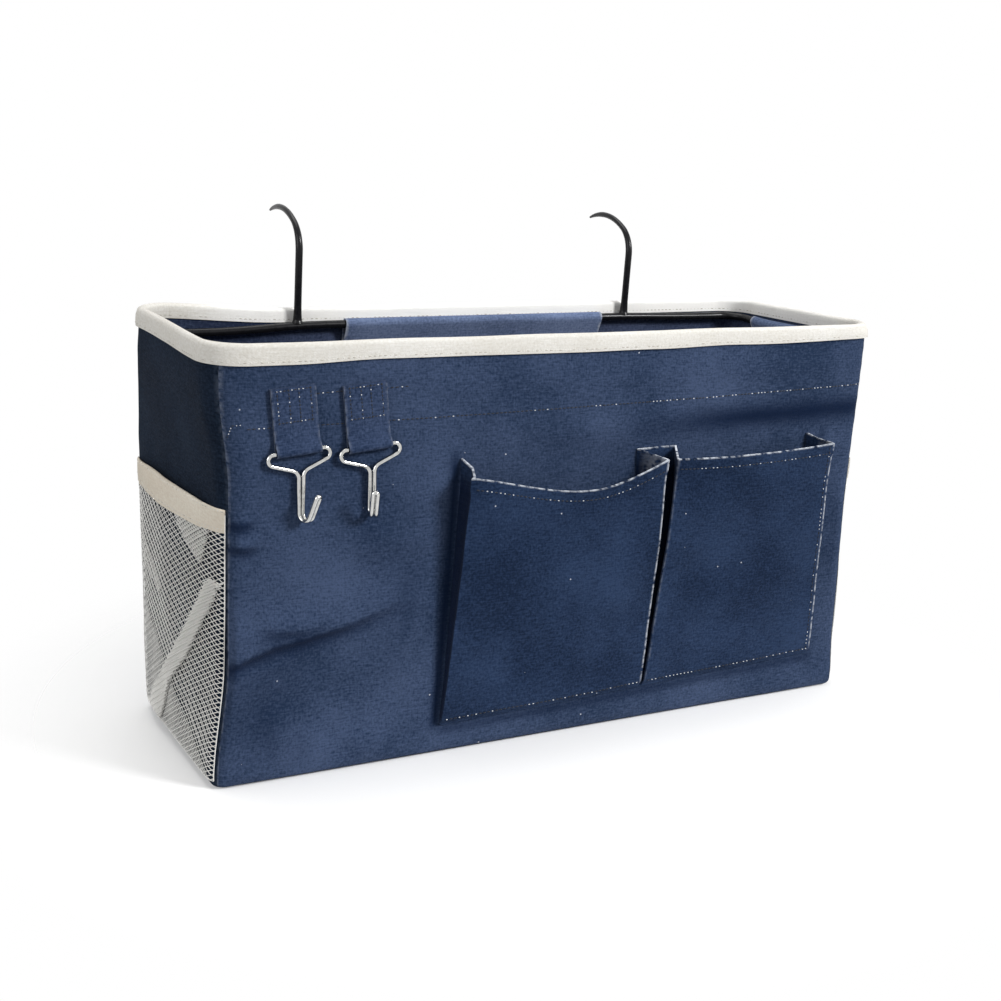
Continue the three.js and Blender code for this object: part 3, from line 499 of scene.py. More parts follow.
def fold_at(x, z, fold):
    """The height of a fold at a place, and how much painted shade the place gets in the crease under its
    crest.
    """
    crest, above, below, height = fold
    best, out, soil = 1e9, 0.0, 0.0
    for k, ((x0, z0), (x1, z1)) in enumerate(zip(crest, crest[1:])):
        along, place = Vector((x1 - x0, z1 - z0)), Vector((x - x0, z - z0))
        t = clamp(place.dot(along) / along.length_squared)
        away = (place - along * t).length
        if away < best:
            best = away
            upper = along.x * place.y - along.y * place.x > 0
            run = (k + t) / (len(crest) - 1)
            ends = (1 if crest[0][0] < -215 else smooth(0, 0.35, run)) * smooth(1, 0.55, run)
            out = height * hump(best, 0, above if upper else below) * ends
            soil = 0 if upper else ends * hump(best, below, below * 1.5) * min(height / 3, 1)
    return out, soil


def painted_crease_shade(x, z):
    """Painted shade and painted shadow: darker under each crest, in a band under the front sleeve, and along
    the pockets' sides and bottom, where their shadows fall.
    """
    painted_dark = sum(fold_at(x, z, fold)[1] * (0.85 if fold[2] < 5 else 0.3) for fold in FRONT_FOLDS)
    # painted shade in a band under the front sleeve's seam, towards the right
    painted_dark += 0.95 * smooth(20, 130, x) * hump(z, 187.5 + x / 40, 7.5)
    up = clamp((z - 18) / 152)
    # painted shadow of the left pocket on the canvas beside it
    painted_dark += 0.95 * hump(x, -83.5 + 8 * up, 3.2) * smooth(12, 22, z) * smooth(186, 172, z)
    # painted shadow under both pockets' bottom seam
    painted_dark += 0.6 * hump(z, 14.5 + 9 * (x + 80) / 270, 3.2) * smooth(-84, -76, x) * smooth(193, 185, x)
    # painted shade along the right pocket's right edge
    painted_dark += 0.45 * hump(x, 191 - 9 * up, 2.6) * smooth(16, 28, z) * smooth(186, 172, z)
    return min(painted_dark, 0.95)


def puff(wall, a, z):
    """How far the outer canvas stands out at a place on a wall."""
    seed = SEEDS[wall][0]
    out = 0.85 + 1.25 * bumps(a / 62, z / 50, seed) + 0.45 * bumps(a / 21, z / 17, seed + 5)
    if wall == "front":
        out += sum(fold_at(a, z, fold)[0] for fold in FRONT_FOLDS)
        out *= 1 - 0.9 * smooth(-100, -125, a) * smooth(140, 158, z)
    return max(out, 0) * smooth(WALL_TOP - 8, WALL_TOP - 26, z) * smooth(0, 9, z)


def front_plane(x, z):
    """The y of the front canvas with no folds in it, as in the CAD model."""
    share = clamp((x / (WALLS["front"].half - corner_radius(z)) + 1) / 2)
    return -DEPTH / 2 - WALLS["front"].belly * sin(pi * share) * sin(pi * z / HEIGHT)


def front_face(x, z):
    return front_plane(x, z) - puff("front", x, z)


print("puff at the first ridge:", round(puff("front", -180, 74), 2), "mm")

# %% [markdown]
# ## The walls
# Each wall's canvas runs round both its corners as far as the seam in the middle of the corner. The
# seam pulls the canvas in along its edge, which makes the small puckers that a sewn corner has. The
# boards between the layers are stiff, but they bend with the box, so each is made again too.

# %% The walls
def canvas_folds(wall, place, z, turn):
    pucker = 0.25 * sin(z / 2.3 + 3 * sin(z / 17)) * smooth(0.45, 0.78, turn)
    held = 1 - smooth(0.2, 0.75, turn) if z >= BOTTOM_EDGE else 0.0
    return puff(wall, place, z) * held + max(pucker, 0) * smooth(0, 12, z)


def lining_folds(wall, place, z, turn):
    seed = SEEDS[wall][1]
    out = 0.5 + bumps(place / 48, z / 40, seed) + 0.3 * bumps(place / 15, z / 13, seed)
    held = (1 - smooth(0.1, 0.7, turn)) * smooth(WALL_TOP - 8, WALL_TOP - 30, z) * smooth(4, 20, z)
    return -max(out, 0) * held * 0.9


SEAM_PINCH, SEAM_WEAR = 0.35, 0.25  # how much thinner and paler the cloth gets at a corner seam


def wall_sheet(name, node, wall, inset, thickness, material, heights, folds):
    outside = inset == 0

    def at(z, station):
        place, turn = flat_place(wall, station, z), abs(station[1])
        under = inset - folds(wall.name, place, z, turn)
        # The fourth value is the corner seam's wear, the fifth is painted shade on the front canvas.
        return (wall_point(wall, station, under + SEAM_PINCH * smooth(0.62, 0.78, turn), z),
                wall_point(wall, station, under + thickness, z), (place, z),
                SEAM_WEAR * smooth(0.66, 0.78, turn) if outside else 0.0,
                painted_crease_shade(place, z) if outside and wall.name == "front" else 0.0)

    stations = stations_of(wall, 5, 190, 46)
    piece = sheet(name, heights, stations, at, material)
    size = (flat_place(wall, stations[-1], HEIGHT / 2) * 2, heights[-1] - heights[0])
    dress(piece, node, "navy_canvas" if outside else "lining", size, held="stretched",
          rests_on=[f"{wall.name}_board"])


def stiffener(side, wall):
    def at(z, share):
        outer, inner = (wall_point(wall, (share, 0.0), CANVAS + GAP + depth, z) for depth in (0, BOARD))
        return outer, inner, (share * wall.half * 2, z), 0.0, 0.0

    heights, shares = spread(BOARD_FOOT, WALL_TOP, 12), spread(0.0, 1.0, 24)
    piece = sheet(f"{side}_stiffener", heights, shares, at, board_finish)
    dress(piece, f"{side}_board", "board")


BOARD_FOOT = 4.1
canvas_heights = [1.1, 1.7, 2.4, 3.2] + spread(BOTTOM_EDGE, WALL_TOP, 124)
lining_heights = spread(BOARD_FOOT, WALL_TOP, 48)
# The short sides get the darker canvas, which is painted shade.
for side, wall in WALLS.items():
    short = side in ("left", "right")
    wall_sheet(f"{side}_canvas", f"{side}_side_panel" if short else f"{side}_panel", wall, 0.0, CANVAS,
               side_canvas if short else canvas, canvas_heights, canvas_folds)
    wall_sheet(f"{side}_inner_cloth", f"{side}_lining", wall, LINING_AT, LINING, lining_cloth, lining_heights,
               lining_folds)
for side, wall in WALLS.items():
    stiffener(side, wall)
print("walls, linings and boards made")

# %% [markdown]
# ## The base
# The base canvas is a plate with the box's round corners, and the lining lies on the board above it.

# %% The base
def base_plate(name, node, material, low, thickness, inset_at, slot_name):
    """Rings from the middle outwards, first over the top and then back underneath."""
    shares = [0.02] + spread(0.0, 1.0, 12)[1:]
    rings = []
    for level, order in ((low + thickness, shares), (low, reversed(shares))):
        border = [wall_point(wall, station, inset_at(level), level)
                  for wall, station in round_the_box(5, 24, 8)]
        for share in order:
            ring = []
            for x, y in ((point.x * share, point.y * share) for point in border):
                lift = 0.5 * (bumps(x / 40, y / 30, level + 9) + 0.6) * smooth(1.0, 0.8, share)
                ring.append(Vector((x, y, level + (max(lift, 0) if level > 3 else 0))))
            rings.append(ring)
    piece = loft(name, rings, material, [[(p.x, p.y) for p in ring] for ring in rings])
    dress(piece, node, slot_name, (WIDTH - 2 * BOTTOM_EDGE, DEPTH - 2 * BOTTOM_EDGE), held="laid",
          rests_on=["base_board"])


base_inside = CANVAS + GAP
inner_inset = lambda z: base_inside + drawn_in(base_inside) - drawn_in(z)
base_plate("base_canvas", "base_panel", canvas, 0.0, CANVAS, lambda z: 0.0, "navy_canvas")
base_plate("base_inner_cloth", "base_lining", lining_cloth, base_inside + BOARD + GAP, LINING, inner_inset,
           "lining")
print("base made")

# %% [markdown]
# ## The rim tape
# One woven tape is folded over the top of all the layers and sewn through. Its section is a narrow
# arch with two legs. Going round the mouth, the lower edge wanders a little, as hand-guided tape does.
# It is painted palest at the back and the right: painted light, where the light washes over its inner face.

# %% The rim tape
RIM_STATIONS = round_the_box(8, 110, 30)
# How far below the rim the outer leg, the inner leg, the bend between arch and leg, and both seams lie.
OUTER_LEG, INNER_LEG, BEND, OUTER_ROW, INNER_ROW = 10.0, 8.0, 4.0, 8.3, 6.2


def rim_section(out, rise, drop):
    """The tape's section: outer face up, over the fold and down inside, then back along the inner faces."""
    outer, inner = -GAP, STACK + GAP
    middle, half = (outer + inner) / 2, (inner - outer) / 2
    top = HEIGHT - TAPE + rise
    arch = [radians(a) for a in range(0, 181, 20)]
    leg = HEIGHT - OUTER_LEG - drop
    face = [(outer - TAPE - out, leg), (outer - TAPE - out * 1.3, leg + 3.0 + drop / 2),
            (outer - TAPE - out, HEIGHT - BEND)]
    face += [(middle - (half + TAPE) * cos(a), top - 1.6 + (TAPE + 1.6) * sin(a)) for a in arch]
    face += [(inner + TAPE + out * 0.4, HEIGHT - BEND), (inner + TAPE, HEIGHT - INNER_LEG)]
    under = [(middle + half * cos(a), top - 1.0 + sin(a)) for a in arch[::3]]
    return face + [(inner, HEIGHT - INNER_LEG)] + under + [(outer - out * 0.5, leg)]


def rim_shape(point):
    """How far the tape stands out, rises and drops at a place round the mouth."""
    out, rise, drop = (bumps(point.x / 55, point.y / 45, seed) for seed in (3.3, 10.3, 16.3))
    low = 0.2 + 1.5 * drop - (1.2 * smooth(-120, 200, point.x) if point.y < 0 else 0)
    return max(0.35 + 0.5 * out, 0.1), max(0.5 + 0.6 * rise, 0.0), low


def rim_tape():
    middles = [wall_point(wall, station, 0, HEIGHT) for wall, station in RIM_STATIONS]
    runs = run_of(middles + middles[:1])
    rings, uvs, wear_and_highlight = [], [], []
    for (wall, station), middle, run in zip(RIM_STATIONS, middles, runs):
        ring = [wall_point(wall, station, inset, z) for inset, z in rim_section(*rim_shape(middle))]
        rings.append(ring)
        uvs.append([(run, across) for across in run_of(ring)])
        # Painted light: the tape's colour pales at the back and at the right.
        at_back = smooth(-190, -150, middle.x) * smooth(30, 60, middle.y)
        at_right = smooth(190, 212, middle.x) * smooth(-60, -20, middle.y)
        wear_and_highlight += [0.85 * max(at_back, 0.6 * at_right)] * len(ring)
    piece = loft("rim_tape", rings, cream_tape, uvs, wear_and_highlight, closed=True, sharp=60, length=runs[-1])
    dress(piece, "rim_binding", "cream_tape", (runs[-1], 26.0), held="folded",
          rests_on=["front_panel", "back_panel"])
    print("rim tape is", round(runs[-1]), "mm long")


rim_tape()

# %% [markdown]
# ## Wires
# A wire is a round section carried along a bent line without twisting. The same function makes the
# ring in the mouth, the hanging hooks and the small hooks. The sections are turned from one point to
# the next by the smallest rotation, so the facets never spiral.

# %% A bent wire
def bent_run(start, heading, moves, step):
    """Straight runs and arcs that follow each other, in one plane. A move is (length, radius, turn)."""
    at, angle, line = Vector(start), heading, [Vector(start)]
    for length, radius, turn in moves:
        for _ in range(max(int(length / 3), 1) if length else 0):
            at = at + Vector((cos(angle), sin(angle))) * (length / max(int(length / 3), 1))
            line.append(at)
        if turn:
            steps = ceil(abs(turn) / step)
            centre = at + Vector((-sin(angle), cos(angle))) * copysign(radius, turn)
            for i in range(1, steps + 1):
                arm = at - centre
                arm.rotate(Matrix.Rotation(turn * i / steps, 2))
                line.append(centre + arm)
            at = line[-1].copy()
            angle += turn
    return line


def wire(name, line, radius, material, body="caddy", sides=16, closed=False, tapers=None):
    """tapers gives the radius at each point, where it isn't the same all along."""
    last = len(line) - 1

    def direction(i):
        before = line[i - 1] if closed or i else line[0]
        after = line[(i + 1) % len(line)] if closed or i < last else line[last]
        return (after - before).normalized()

    heading = direction(0)
    least = min(range(3), key=lambda axis: abs(heading[axis]))
    across = Vector([1.0 if axis == least else 0.0 for axis in range(3)]).cross(heading).normalized()
    angles = [2 * pi * k / sides for k in range(sides)]
    rings, uvs = [], []
    for i, (point, run) in enumerate(zip(line, run_of(line))):
        now = direction(i)
        across.rotate(heading.rotation_difference(now))
        across = (across - now * across.dot(now)).normalized()
        heading, up, size = now, now.cross(across), tapers[i] if tapers else radius
        rings.append([point + (across * cos(a) + up * sin(a)) * size for a in angles])
        uvs.append([(run, a * radius) for a in angles])
    return loft(name, rings, material, uvs, body=body, closed=closed, sharp=50, firm=True)


ring_line = [wire_pulled(wall_point(wall._replace(belly=0.0), station, RING_INSET, RING_HEIGHT))
             for wall, station in round_the_box(8, 30, 8)]
ring = wire("mouth_ring", ring_line, RING_RADIUS, black_wire, closed=True, sides=18)
dress(ring, "hanger_frame", "black_wire")
print("ring made")

# %% [markdown]
# ## Hanging hooks
# Each hook stands on the ring at the back and reaches over the bed rail. It leans forward a little,
# turns over in a tight crook and ends in a long flat crown. Its foot swells where it stands on the
# ring, like a bead of weld.

# %% Hanging hooks
HOOK_LEAN, HOOK_RADIUS, CROOK, CROWN = radians(3), 2.25, 19, 51  # the last two are its bends' radii
STEM_START = RING_HEIGHT + RING_RADIUS + 1.25


def hanging_hook(side, x, stem):
    run = bent_run((0, 0), radians(90) + HOOK_LEAN, [
        (stem, 0, 0), (0, CROOK, radians(30 - 90) - HOOK_LEAN), (0, CROWN, radians(-50))], radians(4))
    foot = [Vector((x, RING_Y, STEM_START - down)) for down in (2.2, 1.6, 0.8)]
    line = [Vector((x, RING_Y + p.x, STEM_START + p.y)) for p in run]
    sizes = [3.5, 3.3, 2.8]
    for i, along in enumerate(run_of(line)):
        sizes.append(HOOK_RADIUS + 0.5 * exp(-i / 1.2) - 0.45 * smooth(stem, stem + 25, along))
    sizes[-5:] = [1.7, 1.5, 1.3, 1.05, 0.7]
    hook = wire(f"{side}_rail_hook", foot + line, HOOK_RADIUS, black_wire, tapers=sizes)
    dress(hook, f"{side}_hanging_hook", "black_wire")


for side, x, stem in (("left", -121.0, 41.0), ("right", 114.0, 38.0)):
    hanging_hook(side, x, stem)
print("hanging hooks made")

# %% [markdown]
# ## Sleeves
# A strip of cloth is folded over the ring and sewn to the wall below it. In section it is a loop with
# two tails. The rear one shows well in the photograph: a paler band with a turned edge at each end.

# %% Sleeves
def strap_line(inner, cloth, step, tail):
    """The middle line of a strap folded round a wire at the origin. The wall is towards +x."""
    slant, radius, target = radians(25), inner + cloth / 2, inner + step - GAP - cloth / 2
    line = [Vector((radius + step * share, -down))
            for share, down in ((1, tail), (1, tail * 0.66), (1, 12.0), (0.5, 6.0))]
    line += [Vector((radius * cos(a), radius * sin(a))) for a in spread(0.0, pi + slant, 18)]
    bend = Vector((target, line[-1].y - (target - line[-1].x) / sin(slant) * cos(slant)))
    hanging = [bend.lerp(Vector((target, -tail)), t) for t in (0.25, 0.5, 0.75, 1)]
    return line + [line[-1].lerp(bend, 0.5), bend] + hanging


def offset_line(line, distance):
    """Moves an open line sideways, with mitred corners."""
    moved = []
    for i, point in enumerate(line):
        into = (point - line[i - 1]).normalized() if i else (line[1] - point).normalized()
        away = (line[i + 1] - point).normalized() if i < len(line) - 1 else into
        middle = (into + away).normalized()
        normal = Vector((-middle.y, middle.x))
        moved.append(point + normal * (distance / max(normal.dot(Vector((-into.y, into.x))), 0.35)))
    return moved


def strap(name, line, cloth, width, place, material, spans, wave, seed, edge_wear=0.5):
    """Carries a strap's section along its width. place turns (along, out, up) into the box's frame."""
    faces = [offset_line(line, cloth / 2), offset_line(line, -cloth / 2)]
    runs = run_of(line)

    def at(r, c):
        along = width * (sin(pi * (c / spans - 0.5)) * 0.25 + (c / spans - 0.5) * 0.5)
        ripple = min(wave * bumps(along / 22, runs[r] / 14, seed), 0)
        outer, inner = (place(along, face[r].x + ripple, face[r].y) for face in faces)
        return outer, inner, (along, runs[r]), edge_wear * (1 - min((width / 2 - abs(along)) / 1.2, 1)), 0.0

    return sheet(name, range(len(line)), range(spans + 1), at, material, firm=True)


SLEEVE_SEAM, REAR_WIDTH, REAR_SHIFT = 45, 185.0, 2.5  # the seam is that far below the rim
sleeve_line = strap_line(RING_RADIUS + GAP, SLEEVE, TAPE + GAP, SLEEVE_SEAM - RING_DROP)
corners = 2 * (MOUTH_CORNER + 8)
for seed, (node, width, place) in enumerate((
        ("rear_sleeve", REAR_WIDTH, lambda a, o, u: Vector((REAR_SHIFT - a, RING_Y + o, RING_HEIGHT + u))),
        ("front_sleeve", WIDTH - corners, lambda a, o, u: Vector((a, -RING_Y - o, RING_HEIGHT + u))),
        ("left_sleeve", DEPTH - corners, lambda a, o, u: Vector((-RING_X - o, -a, RING_HEIGHT + u))),
        ("right_sleeve", DEPTH - corners, lambda a, o, u: Vector((RING_X + o, a, RING_HEIGHT + u))))):
    piece = strap(node + "_cloth", sleeve_line, SLEEVE, width, lambda a, o, u: wire_pulled(place(a, o, u)),
                  sleeve_cloth, int(width / 4), 0.5, seed + 1.5)
    dress(piece, node, "lining", (width, run_of(sleeve_line)[-1]), held="folded", rests_on=["hanger_frame"])
print("sleeves made")

# %% [markdown]
# ## The pleated pockets
# Both front pockets are one strip of canvas. Seen from above it runs: a fold at the left edge, the
# first face, a box pleat down to the panel and up again, the second face, and a fold at the right
# edge. Near the bottom the faces come in to the panel, where the seam holds them. The outline is
# worked out at each height and its corners are rounded, so folds stay crisp but never knife-sharp.

# %% The pleated pockets
MOUTH_LEFT, MOUTH_RIGHT = -WIDTH / 2 + 147, WIDTH / 2 - 30
SPLIT, PLEAT = (MOUTH_LEFT + MOUTH_RIGHT) / 2, 13  # the pleat's middle, and half its width on the panel
FACE_SHARES = [0, 0.008] + spread(0.02, 0.98, 26) + [0.992, 1]
FACE_POINTS = len(FACE_SHARES) - 1
# The strip's corners have numbers: where each face begins, and where it ends, at the pleat and at the right.
FIRST_FACE, SECOND_FACE = 3, 3 + FACE_POINTS + 12
AT_PLEAT, AT_RIGHT = FIRST_FACE + FACE_POINTS, SECOND_FACE + FACE_POINTS


def pocket_corners(rise):
    """The strip's corners at a share of its height, each (x, out, share of the sag), between its ends."""
    mix = lambda seam, mouth: seam + (mouth - seam) * rise
    left, right = mix(MOUTH_LEFT - 12, MOUTH_LEFT - 4), mix(MOUTH_RIGHT + 3, MOUTH_RIGHT - 7)
    depth = 0.8 + 2.8 * smooth(0, 0.035, rise) + 12.4 * max(rise - 0.02, 0) / 0.98
    near, far, flat, fold = mix(2.3, 2.6), mix(1, 5.5), GAP + CANVAS / 2, min(0.9, depth * 0.4)
    line = [(left, flat, 0), (left + mix(0, 3), (depth + GAP) / 2, 0), (left + mix(0, 1), depth - fold, 0)]
    for first, start, end in ((True, left, SPLIT - near), (False, SPLIT + far, right)):
        for share in FACE_SHARES:
            sag = sin(pi * share**1.27) if first else 0.12 * sin(pi * share)
            line.append((start + (end - start) * share, depth + 2.2 * rise * sin(pi * share) ** 0.8, sag))
        if first:
            line += [(end, depth - fold, 0), (SPLIT - PLEAT, flat + fold, 0),
                     (SPLIT - PLEAT - 0.4, flat + 0.2, 0)]
            line += [(x, flat, 0) for x in spread(SPLIT - PLEAT, SPLIT + PLEAT, 6)[1:-1]]
            line += [(SPLIT + PLEAT + 0.4, flat + 0.2, 0), (SPLIT + PLEAT, flat + fold, 0),
                     (SPLIT + far, depth - fold, 0)]
    line += [(right, depth - fold, 0), (right - 5.5, (depth + flat) / 2, 0), (right - 8.5, flat, 0)]
    return left, right, depth, line


def hem_at(rise):
    """The mouth's hem is turned in, so the cloth is thicker above its stitches."""
    return 0.4 * smooth(0.935, 0.95, rise)


def pocket_height(x, out, sag, left, right, depth, rise):
    across = (x - left) / (right - left)
    seam = 18 + 9 * across
    foot = (4.5 + 4 * smooth(0.1, 0, across)) * max(1 - out / depth, 0)
    return seam + (170 + 3.5 * across - 13 * sag + foot - seam) * rise


def pocket_ripple(x, z, rise):
    return (0.9 * bumps(x / 26, z / 60, 5.5) + 0.5 * bumps(x / 60, z / 24, 8.5)) * smooth(0.0, 0.12, rise)


def pocket_strip():
    # Painted highlights on the folds that face the key lamp on the right, faint on the second face's left
    # fold, and painted shade on the pleat's sides and both ends of the strip.
    fold_highlight = {AT_PLEAT: 0.75, AT_PLEAT + 1: 0.4, AT_PLEAT + 12: 0.12, AT_RIGHT: 0.75, AT_RIGHT + 1: 0.4}
    shaded = {AT_PLEAT + k: 0.85 for k in range(2, 11)}
    shaded.update({0: 0.85, 1: 0.85, 2: 0.6, AT_PLEAT + 1: 0.35, AT_PLEAT + 11: 0.5, AT_RIGHT + 2: 0.5,
                   AT_RIGHT + 3: 0.6})
    rises = [0, 0.006, 0.014, 0.024, 0.036] + spread(0.05, 0.993, 50) + [1.0]
    plans = {}
    for rise in rises:
        plan = [Vector((x, out)) for x, out, _ in pocket_corners(rise)[3]]
        plans[rise] = (*pocket_corners(rise), run_of(plan), offset_line(plan, CANVAS / 2 + hem_at(rise)),
                       offset_line(plan, -CANVAS / 2))

    def at(rise, i):
        left, right, depth, line, runs, *layers = plans[rise]
        x, out, sag = line[i]
        z = pocket_height(x, out, sag, left, right, depth, rise)
        ripple = pocket_ripple(x, z, rise) * smooth(0.75, 1.0, out / depth)
        outer, inner = (Vector((p.x, front_face(p.x, z) - p.y - ripple, z)) for p in [a[i] for a in layers])
        # The mouth's top edge gets a painted highlight through the edge value.
        return (outer, inner, (runs[i] + 40, z),
                max(0.95 * smooth(0.993, 1.0, rise), fold_highlight.get(i, 0) * smooth(0, 0.1, rise)),
                shaded.get(i, 0) * smooth(1.0, 0.9, rise) * smooth(0.0, 0.04, rise))

    half_way, columns = rises[len(rises) // 2], range(len(plans[0][3]))
    piece = sheet("pocket_strip", rises, columns, at, pocket_canvas, sharp=55)
    width = run_of([at(half_way, i)[0] for i in columns])[-1]
    dress(piece, "front_pockets", "pocket_canvas", (width, 153.0), held="folded", rests_on=["front_panel"])
    print("pocket strip is", round(width), "mm wide before it is pleated")


pocket_strip()

# %% [markdown]
# ## Net pockets
# The net is a knitted lattice of diamonds. Its flat pattern is two families of slanting yarns. The
# pattern is laid on the side of the box by a function that also gives the slack at the mouth. Python
# makes only the yarns' middle lines, and a Geometry Nodes tree gives them their round section.

# %% Where the net lies
NET_LOW, NET_HIGH, YARN_RADIUS, CROSSING = 5.0, 158.0, 0.27, 0.16  # yarns cross over and under by this
NET_START, NET_SHARE = 0.035, 0.955
NET_TOP = NET_HIGH - 3
NET_SLACK = {"left": 4.2, "right": 2.5}


def across_wall(wall, share, z):
    """The station at a share of a wall's way from seam to seam."""
    radius = corner_radius(z)
    corner, straight = radius * SEAM_TURN, 2 * (wall.half - radius)
    run = share * (2 * corner + straight)
    if run < corner:
        return 0.0, run / radius - SEAM_TURN
    if run > corner + straight:
        return 1.0, (run - corner - straight) / radius
    return (run - corner) / straight, 0.0


def at_ends(share):
    """1 where the net and its tape are caught in the corner seams."""
    return smooth(0.14, 0.03, share) + smooth(0.86, 0.97, share)


def of_wall(share):
    """The net stops a little short of the corner seams."""
    return NET_START + NET_SHARE * share


def net_place(wall, share, z, off=0.0):
    station, across = across_wall(wall, of_wall(share), z), sin(pi * share)
    rise = min((z - NET_LOW) / (NET_HIGH - NET_LOW), 1)
    lift = (TAPE + GAP) * max(sqrt(max(rise, 0)), across) - 1.2 * at_ends(share) * smooth(0.2, 0.7, rise)
    lift += GAP + 0.6 + NET_SLACK[wall.name] * across * sin(pi / 2 * max(rise, 0)) + off
    ripple = 1.1 * bumps(share * 5, z / 30, 21.0) * across
    under = puff(wall.name, flat_place(wall, station, z), z) * (1 - smooth(0.2, 0.75, abs(station[1])))
    return wall_point(wall, station, -(lift + ripple * 0.6 + under * 0.6), z)


def net_width(wall):
    """The width of the net's flat pattern."""
    return NET_SHARE * (2 * (wall.half - BASE_CORNER) + 2 * BASE_CORNER * SEAM_TURN)


FOLDS = (  # where the left net lies in folds: layers, spacing across and up, and (share of its width, height)
    (2, 2.0, 1.15, [(0.62, 148), (0.93, 146), (0.9, 134), (0.86, 124), (0.75, 132)]),
    (3, 1.6, 0.9, [(0.9, 117), (0.81, 100), (0.71, 83), (0.545, 60), (0.295, 31), (0.1, 8), (0.33, 8),
                   (0.425, 24), (0.52, 41), (0.7, 63), (0.835, 85), (0.92, 100), (0.99, 119)]),
    (1, 2.5, 1.4, [(0.2, 117), (0.27, 108), (0.46, 92), (0.41, 88), (0.15, 97)]),
)
FOLD_LAYERS = ((0.6, 0.3, 0.7), (1.3, 0.1, 1.3), (0.3, 1.1, 1.8))  # shifted along and up, and lifted


def inside(polygon, share, z):
    hit = False
    for (x0, z0), (x1, z1) in zip(polygon, polygon[1:] + polygon[:1]):
        if (z0 > z) != (z1 > z) and share < x0 + (x1 - x0) * (z - z0) / (z1 - z0):
            hit = not hit
    return hit


def yarn_lines(wall, across=2.5, upward=1.4, layer=(0.0, 0.0, 0.0), polygon=None):
    """Slanting yarns over the net's rectangle, or over one fold of it, as chains of points."""
    columns, rows = round(net_width(wall) / across), round((NET_TOP - NET_LOW) / upward)
    chains = []
    for slope in (1, -1):
        starts = [(c, 0) for c in range(0, columns + 1, 2)]
        starts += [(0 if slope == 1 else columns, r) for r in range(2, rows + 1, 2)]
        for column, row in starts:
            chains.append([])
            while 0 <= column <= columns and row <= rows:
                over = CROSSING * slope * (1 if (column // 2 + row // 2) % 2 else -1)
                share = (column + layer[0]) / columns
                z = NET_LOW + (NET_TOP - NET_LOW) * (row + layer[1]) / rows
                uneven = 0.25 * bumps(share * 40, z / 5, slope)
                if polygon and not inside(polygon, of_wall(share), z + 6 * uneven):
                    chains.append([])
                else:
                    chains[-1].append(net_place(wall, share + uneven * 0.008, z + uneven, over + layer[2]))
                column, row = column + slope, row + 1
    return [chain for chain in chains if len(chain) > 1]


def net_yarns(wall):
    lines = yarn_lines(wall)
    along, up = spread(0, 1, 60), spread(NET_LOW, NET_TOP, 60)
    for border in ([(share, NET_LOW) for share in along], [(0, z) for z in up], [(1, z) for z in up]):
        lines.append([net_place(wall, share, z) for share, z in border])
    if wall.name == "left":
        for count, across, upward, polygon in FOLDS:
            for layer in FOLD_LAYERS[:count]:
                lines += yarn_lines(wall, across, upward, layer, polygon)
    return lines


print("the left net's pattern is", round(net_width(WALLS["left"])), "mm wide")

# %% [markdown]
# The tree turns the lines into curves and sweeps a small square profile along them. Its inputs are the
# yarn's thickness and its material, and it ends in a plain mesh.

# %% A tree that gives lines a round section
def new_tree(name, labels):
    tree = bpy.data.node_groups.new(name, "GeometryNodeTree")
    for label in ("Geometry", *labels, "Material"):
        kind = "NodeSocketFloat" if label in labels else f"NodeSocket{label}"
        tree.interface.new_socket(label, in_out="INPUT", socket_type=kind)
    tree.interface.new_socket("Geometry", in_out="OUTPUT", socket_type="NodeSocketGeometry")
    given = tree.nodes.new("NodeGroupInput").outputs

    def add(kind, sockets=None, output=0, **settings):
        return add_node(tree, kind, sockets, **settings).outputs[output]

    def close(geometry):
        whole = add("GeometryNodeRealizeInstances", {0: geometry})
        painted = add("GeometryNodeSetMaterial", {"Geometry": whole, "Material": given["Material"]})
        add_node(tree, "NodeGroupOutput", {0: painted})
        return tree

    return given, add, close


def yarn_tree():
    given, add, close = new_tree("yarn_section", ["Radius"])
    curves = add("GeometryNodeMeshToCurve", {"Mesh": given["Geometry"]})
    profile = add("GeometryNodeCurvePrimitiveCircle", {"Resolution": 4, "Radius": given["Radius"]})
    sockets = {"Curve": curves, "Profile Curve": profile, "Fill Caps": True}
    return close(add("GeometryNodeCurveToMesh", sockets))


def run_tree(name, lines, tree, values, material, firm=False):
    """Runs a tree on chains of points and keeps the result as a plain mesh."""
    mesh = bpy.data.meshes.new(name + "_lines")
    points = [point if firm else pulled(point) for line in lines for point in line]
    edges, at = [], 0
    for line in lines:
        edges += [(at + i, at + i + 1) for i in range(len(line) - 1)]
        at += len(line)
    mesh.from_pydata([tuple(point * MM) for point in points], edges, [])
    guide = show(name + "_guide", mesh)
    modifier = guide.modifiers.new("tree", "NODES")
    modifier.node_group = tree
    sockets = {item.name: item.identifier for item in tree.interface.items_tree if item.in_out == "INPUT"}
    for label, value in {**values, "Material": material}.items():
        modifier[sockets[label]] = value
    bpy.context.view_layer.update()
    made = bpy.data.meshes.new_from_object(guide.evaluated_get(bpy.context.evaluated_depsgraph_get()))
    bpy.data.objects.remove(guide)
    made.name = name
    made.shade_smooth()
    piece = show(name, made)
    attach(piece, "caddy")
    return piece


yarn_section = yarn_tree()
for side in ("left", "right"):
    net = run_tree(f"{side}_net_yarns", net_yarns(WALLS[side]), yarn_section, {"Radius": YARN_RADIUS * MM},
                   net_yarn)
    wide, high = net_width(WALLS[side]), NET_HIGH - NET_LOW
    dress(net, f"{side}_net", "net", (wide, high), area=wide * high * MM**2 * 0.8, held="stretched",
          rests_on=[f"{side}_side_panel"])
    print(net.name, "has", len(net.data.polygons), "faces")

